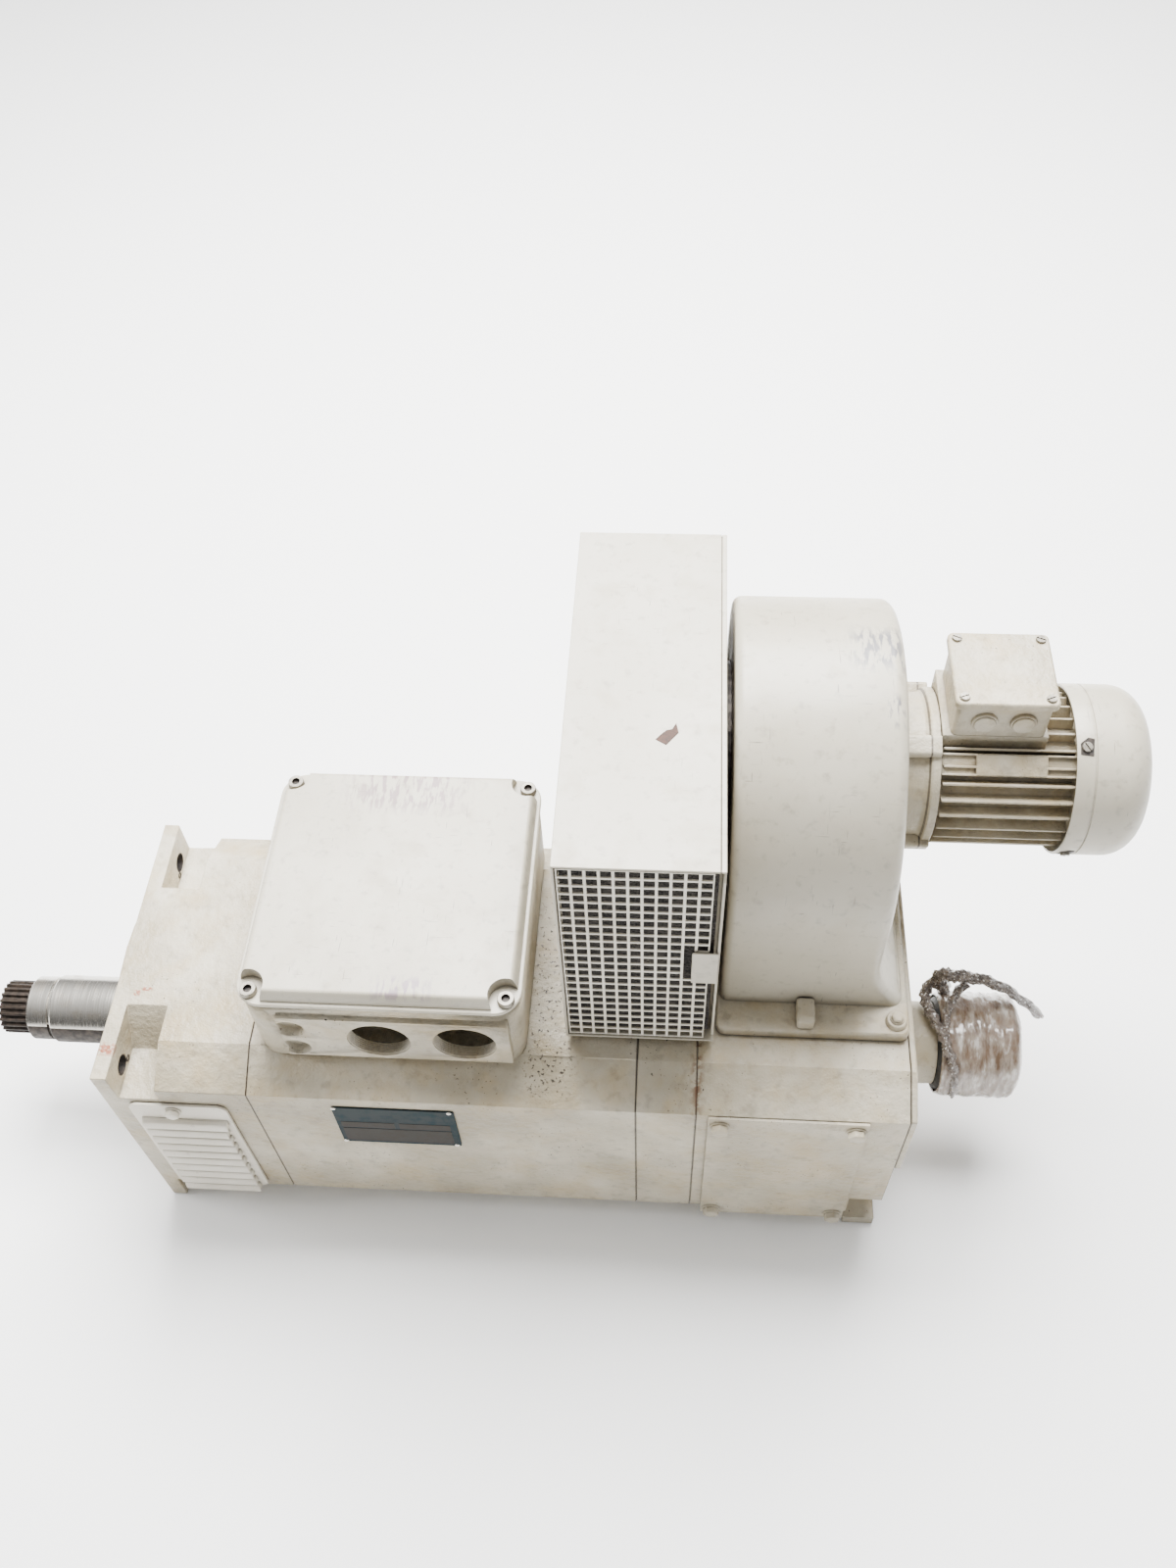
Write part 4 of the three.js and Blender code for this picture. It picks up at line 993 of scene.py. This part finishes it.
def grille():
    """Square-punched front panel with a slot for its spring clip."""
    bm = bmesh.new()
    xs = cells(PANEL_LEFT, PANEL_RIGHT, 11, 8.0)
    zs = cells(PANEL_LOW, PANEL_TOP, 23, 8.6)
    perforated(bm, xs, zs, FRONT + 1, 1.5, slot=(19, 19, 27))
    made("filter_grille", bm, WHITE, "louvre_paint", "grille", ("front_grille",), edge=0.25)
    clip = bmesh.new()
    y = FRONT - 0.3
    soft_block(clip, (504, y - 1.3, 246), (RIGHT - 1, y, 291), 1, 1.5)
    block(clip, (504, y - 0.7, 250), (508, FRONT + 0.7, 287))
    made("grille_clip_plate", clip, SHEET, "louvre_paint", "grille", ("grille_clip",), edge=0.4)


def filter_mat():
    bm = bmesh.new()
    # the mat is drawn out to x 520.5, into the gap at the box's right edge, so that the gap shows its black:
    # painted shade there
    block(bm, (406.5, -73, 150.5), (520.5, -61, 394.5))
    bmesh.ops.subdivide_edges(bm, edges=bm.edges, cuts=7, use_grid_fill=True)
    for v in bm.verts:
        u = abs(v.co.x - 463.5) / 57
        w = abs(v.co.z - 272.5) / 122
        crown = (1 - u**4) * (1 - w**4)
        v.co.y += (-1 if v.co.y < -67 else 1) * (crown * 1.2 - 1.2) + noise.noise(v.co * 0.05) * 0.6
    mat = made("filter_foam_mat", bm, FOAM, "filter_foam", replaces=("filter_mat",), smooth=60)


# ---------------------------------------------------------------- encoder and its wrapping


def encoder_adapter():
    bm = bmesh.new()
    turned(bm, [
        (696.3, 24), (696.3, 55), (697.3, 56), (704.3, 56), (705.3, 55), (705.3, 41), (708, 38.5),
        (735.7, 38), (735.7, 24)])
    for degrees in (45, 135, 225, 315):
        a = math.radians(degrees)
        hex_bolt(bm, (705.3, 48 * math.cos(a), 48 * math.sin(a)), (1, 0, 0), across=8, height=4)
    made("encoder_flange", bm, CAST, "frame_paint", replaces=("encoder_adapter",), edge=0.5)


def wrinkled(bm, centre_line):
    """Pulls a smooth skin into the bands and creases of hand-wound film."""
    for v in bm.verts:
        x, y, z = v.co
        away = Vector((0, y, z))
        if away.length < 1:
            continue
        swing = math.atan2(z, y)
        lap = ((x + swing / (2 * math.pi) * 17) / 17) % 1.0
        crease = noise.noise(Vector((x * 0.16, swing * 2.2, centre_line))) * 1.5
        fine = noise.noise(Vector((x * 0.6, swing * 7, centre_line + 9))) * 0.8
        v.co += away.normalized() * (lap * 1.1 - 1.6 + crease + fine)


def film_wrap():
    """Many turns of stretch film over the encoder, gathered at the rear into a twisted tail."""
    bm = bmesh.new()
    xs = [738 + i * 1.5 for i in range(50)]
    profile = []
    for x in xs:
        shoulder = max(0.0, (x - 803) / 9)
        start = max(0.0, (744 - x) / 6)
        profile.append((x, 49.5 - 9 * shoulder**2 - 2.5 * start**2))
    profile += [(812, 34), (811.5, 26), (811, 18), (811, 9), (811, 0)]
    points = [bm.verts.new((x, 0, r)) for x, r in profile]
    edges = [bm.edges.new(pair) for pair in zip(points, points[1:])]
    bmesh.ops.spin(
        bm, geom=points + edges, cent=(0, 0, 0), axis=(1, 0, 0), angle=2 * math.pi, steps=150, use_merge=True)
    bmesh.ops.remove_doubles(bm, verts=bm.verts, dist=0.01)
    bmesh.ops.recalc_face_normals(bm, faces=bm.faces)
    wrinkled(bm, 3.0)
    skin = made("film_wrapping", bm, FILM, "film_wrap", replaces=("encoder_wrap",), smooth=70)
    layer = skin.modifiers.new("film_thickness", "SOLIDIFY")
    layer.thickness = 1.2 * MM
    layer.offset = -1
    tail()


def smooth_path(route):
    """Points close together along a smooth curve through a route."""
    curve = bpy.data.curves.new("route", "CURVE")
    curve.dimensions = "3D"
    line = curve.splines.new("NURBS")
    line.points.add(len(route) - 1)
    for point, place in zip(line.points, route):
        point.co = (*place, 1)
    line.order_u = 4
    line.use_endpoint_u = True
    line.resolution_u = 12
    holder = bpy.data.objects.new("route", curve)
    bpy.context.scene.collection.objects.link(holder)
    path = [v.co.copy() for v in holder.to_mesh().vertices]
    holder.to_mesh_clear()
    bpy.data.objects.remove(holder)
    bpy.data.curves.remove(curve)
    return path


def twisted(bm, route, thick, thin, lay=0.45):
    """A rope of film along a route: three lobes that twist, from thick to thin."""
    path = smooth_path(route)
    rings = []
    for i, place in enumerate(path):
        ahead = path[min(i + 1, len(path) - 1)] - path[max(i - 1, 0)]
        stand = facing(place, ahead)
        share = i / (len(path) - 1)
        size = (thick + (thin - thick) * share) * (1 + 0.25 * noise.noise(Vector((i * 0.4, thick, 5))))
        ring_points = []
        for k in range(22):
            a = k / 22 * 2 * math.pi
            lobe = 1 + 0.28 * math.cos(3 * a + i * lay) + 0.12 * math.cos(7 * a - i * 0.6)
            ring_points.append(stand @ Vector((size * lobe * math.cos(a), size * lobe * math.sin(a), 0)))
        rings.append(ring_points)
    loops = lofted(bm, rings)
    bmesh.ops.holes_fill(bm, edges=loops[0] + loops[-1], sides=0)


def tail():
    """The film's loose end, twisted into a rope, and the strands that lead into it."""
    bm = bmesh.new()
    twisted(bm, [(748, 40, 30), (737, 37, 52), (734, 35, 70), (750, 33, 70), (772, 31, 72), (802, 28, 57),
                 (822, 26, 34), (838, 25, 14)], 6.2, 3.6)
    twisted(bm, [(737, 36, 62), (727, 33, 48), (722, 22, 47), (729, 2, 50), (740, -20, 47), (748, -38, 34),
                 (752, -46, 14), (752, -49, -8)], 4.6, 3.4, 0.7)
    twisted(bm, [(762, 33, 58), (752, 24, 54), (742, 8, 53), (739, -14, 51), (741, -34, 39)], 3.6, 2.6, 0.6)
    made("film_tail", bm, ROPE, "film_wrap", smooth=80)


# ---------------------------------------------------------------- parts that show inside


def inner_parts():
    """CAD parts whose shape is right as it is take their finish here."""
    finishes = {
        STEEL: ["drive_end_bearing", "brush_end_bearing", "encoder_coupling", "blower_rotor"],
        BLACK_STEEL: ["drive_end_bearing_cap", "inlet_ring", "impeller"],
        CORE: ["armature", "blower_stator_core"],
        COPPER: ["commutator", *(f"main_pole_{i}" for i in range(1, 5))],
        CARBON: [f"carbon_brush_{i}" for i in range(1, 5)],
        RUBBER: ["shaft_seal", "terminal_box_gasket"],
        RESIN: ["brush_rocker", "terminal_board"],
        PLASTIC: ["cooling_fan", "encoder"],
    }
    for material, nodes in finishes.items():
        for node in nodes:
            mesh = frame["nodes"][node].data
            mesh.materials.clear()
            mesh.materials.append(material)


# ---------------------------------------------------------------- studio


def studio():
    floor_mesh = bmesh.new()
    bmesh.ops.create_grid(floor_mesh, x_segments=1, y_segments=1, size=60)
    mesh = bpy.data.meshes.new("floor")
    floor_mesh.to_mesh(mesh)
    floor_mesh.free()
    floor = bpy.data.objects.new("floor", mesh)
    floor.location.z = -0.0006
    bpy.context.scene.collection.objects.link(floor)
    material, tree, _ = begin("pale_studio_floor")
    surface(tree, {"Base Color": (0.97, 0.97, 0.96, 1), "Roughness": 0.9})
    mesh.materials.append(material)

    world = bpy.data.worlds.new("studio")
    bpy.context.scene.world = world
    world.use_nodes = True
    sky = world.node_tree
    toward = add(sky, "TexCoord", out="Generated")
    up = add(sky, "SeparateXYZ", {"Vector": toward}, "Z")
    back = add(sky, "SeparateXYZ", {"Vector": toward}, "Y")
    overhead = add(sky, "MapRange", {0: up, 1: 0.0, 2: 0.8, 3: 0.25, 4: 1.5})
    behind = add(sky, "MapRange", {0: back, 1: -0.8, 2: 0.2, 3: 0.3, 4: 1.0})
    glow = overlap(sky, overhead, behind)
    sky.nodes["Background"].inputs["Color"].default_value = (1, 1, 1, 1)
    sky.links.new(glow, sky.nodes["Background"].inputs["Strength"])

    for name, place, size, power in (
        ("overhead", (0.1, 1.1, 2.6), 1.8, 420),
        ("left_window", (-2.4, 0.0, 1.5), 1.0, 48),
    ):
        lamp = bpy.data.lights.new(name, "AREA")
        lamp.size = size
        lamp.energy = power
        holder = bpy.data.objects.new(name, lamp)
        holder.location = place
        aim = Vector((0, 0, 0.15)) - Vector(place)
        holder.rotation_euler = aim.to_track_quat("-Z", "Y").to_euler()
        bpy.context.scene.collection.objects.link(holder)


def camera():
    """Looks down steeply from in front, turned a little to the left."""
    data = bpy.data.cameras.new("camera")
    data.sensor_width = 36
    data.lens = 31.59
    data.clip_start = 0.01
    holder = bpy.data.objects.new("camera", data)
    right = Vector((0.9977, 0.0600, -0.0324))
    down = Vector((0.0284, -0.7980, -0.6021))
    ahead = Vector((-0.0620, 0.5998, -0.7978))
    turn = Matrix((right, -down, -ahead)).transposed().to_4x4()
    holder.matrix_world = Matrix.Translation(at(486.2, -605.5, 1197.0)) @ turn
    bpy.context.scene.collection.objects.link(holder)
    bpy.context.scene.camera = holder


camera()
studio()
motor_frame()
cover_bolts()
bolt_holes()
louvres()
nameplate()
shaft()
terminal_box()
scroll()
blower_base()
blower_neck()
blower_fins()
fan_cowl()
small_terminal_box()
filter_box()
grille()
filter_mat()
encoder_adapter()
film_wrap()
inner_parts()
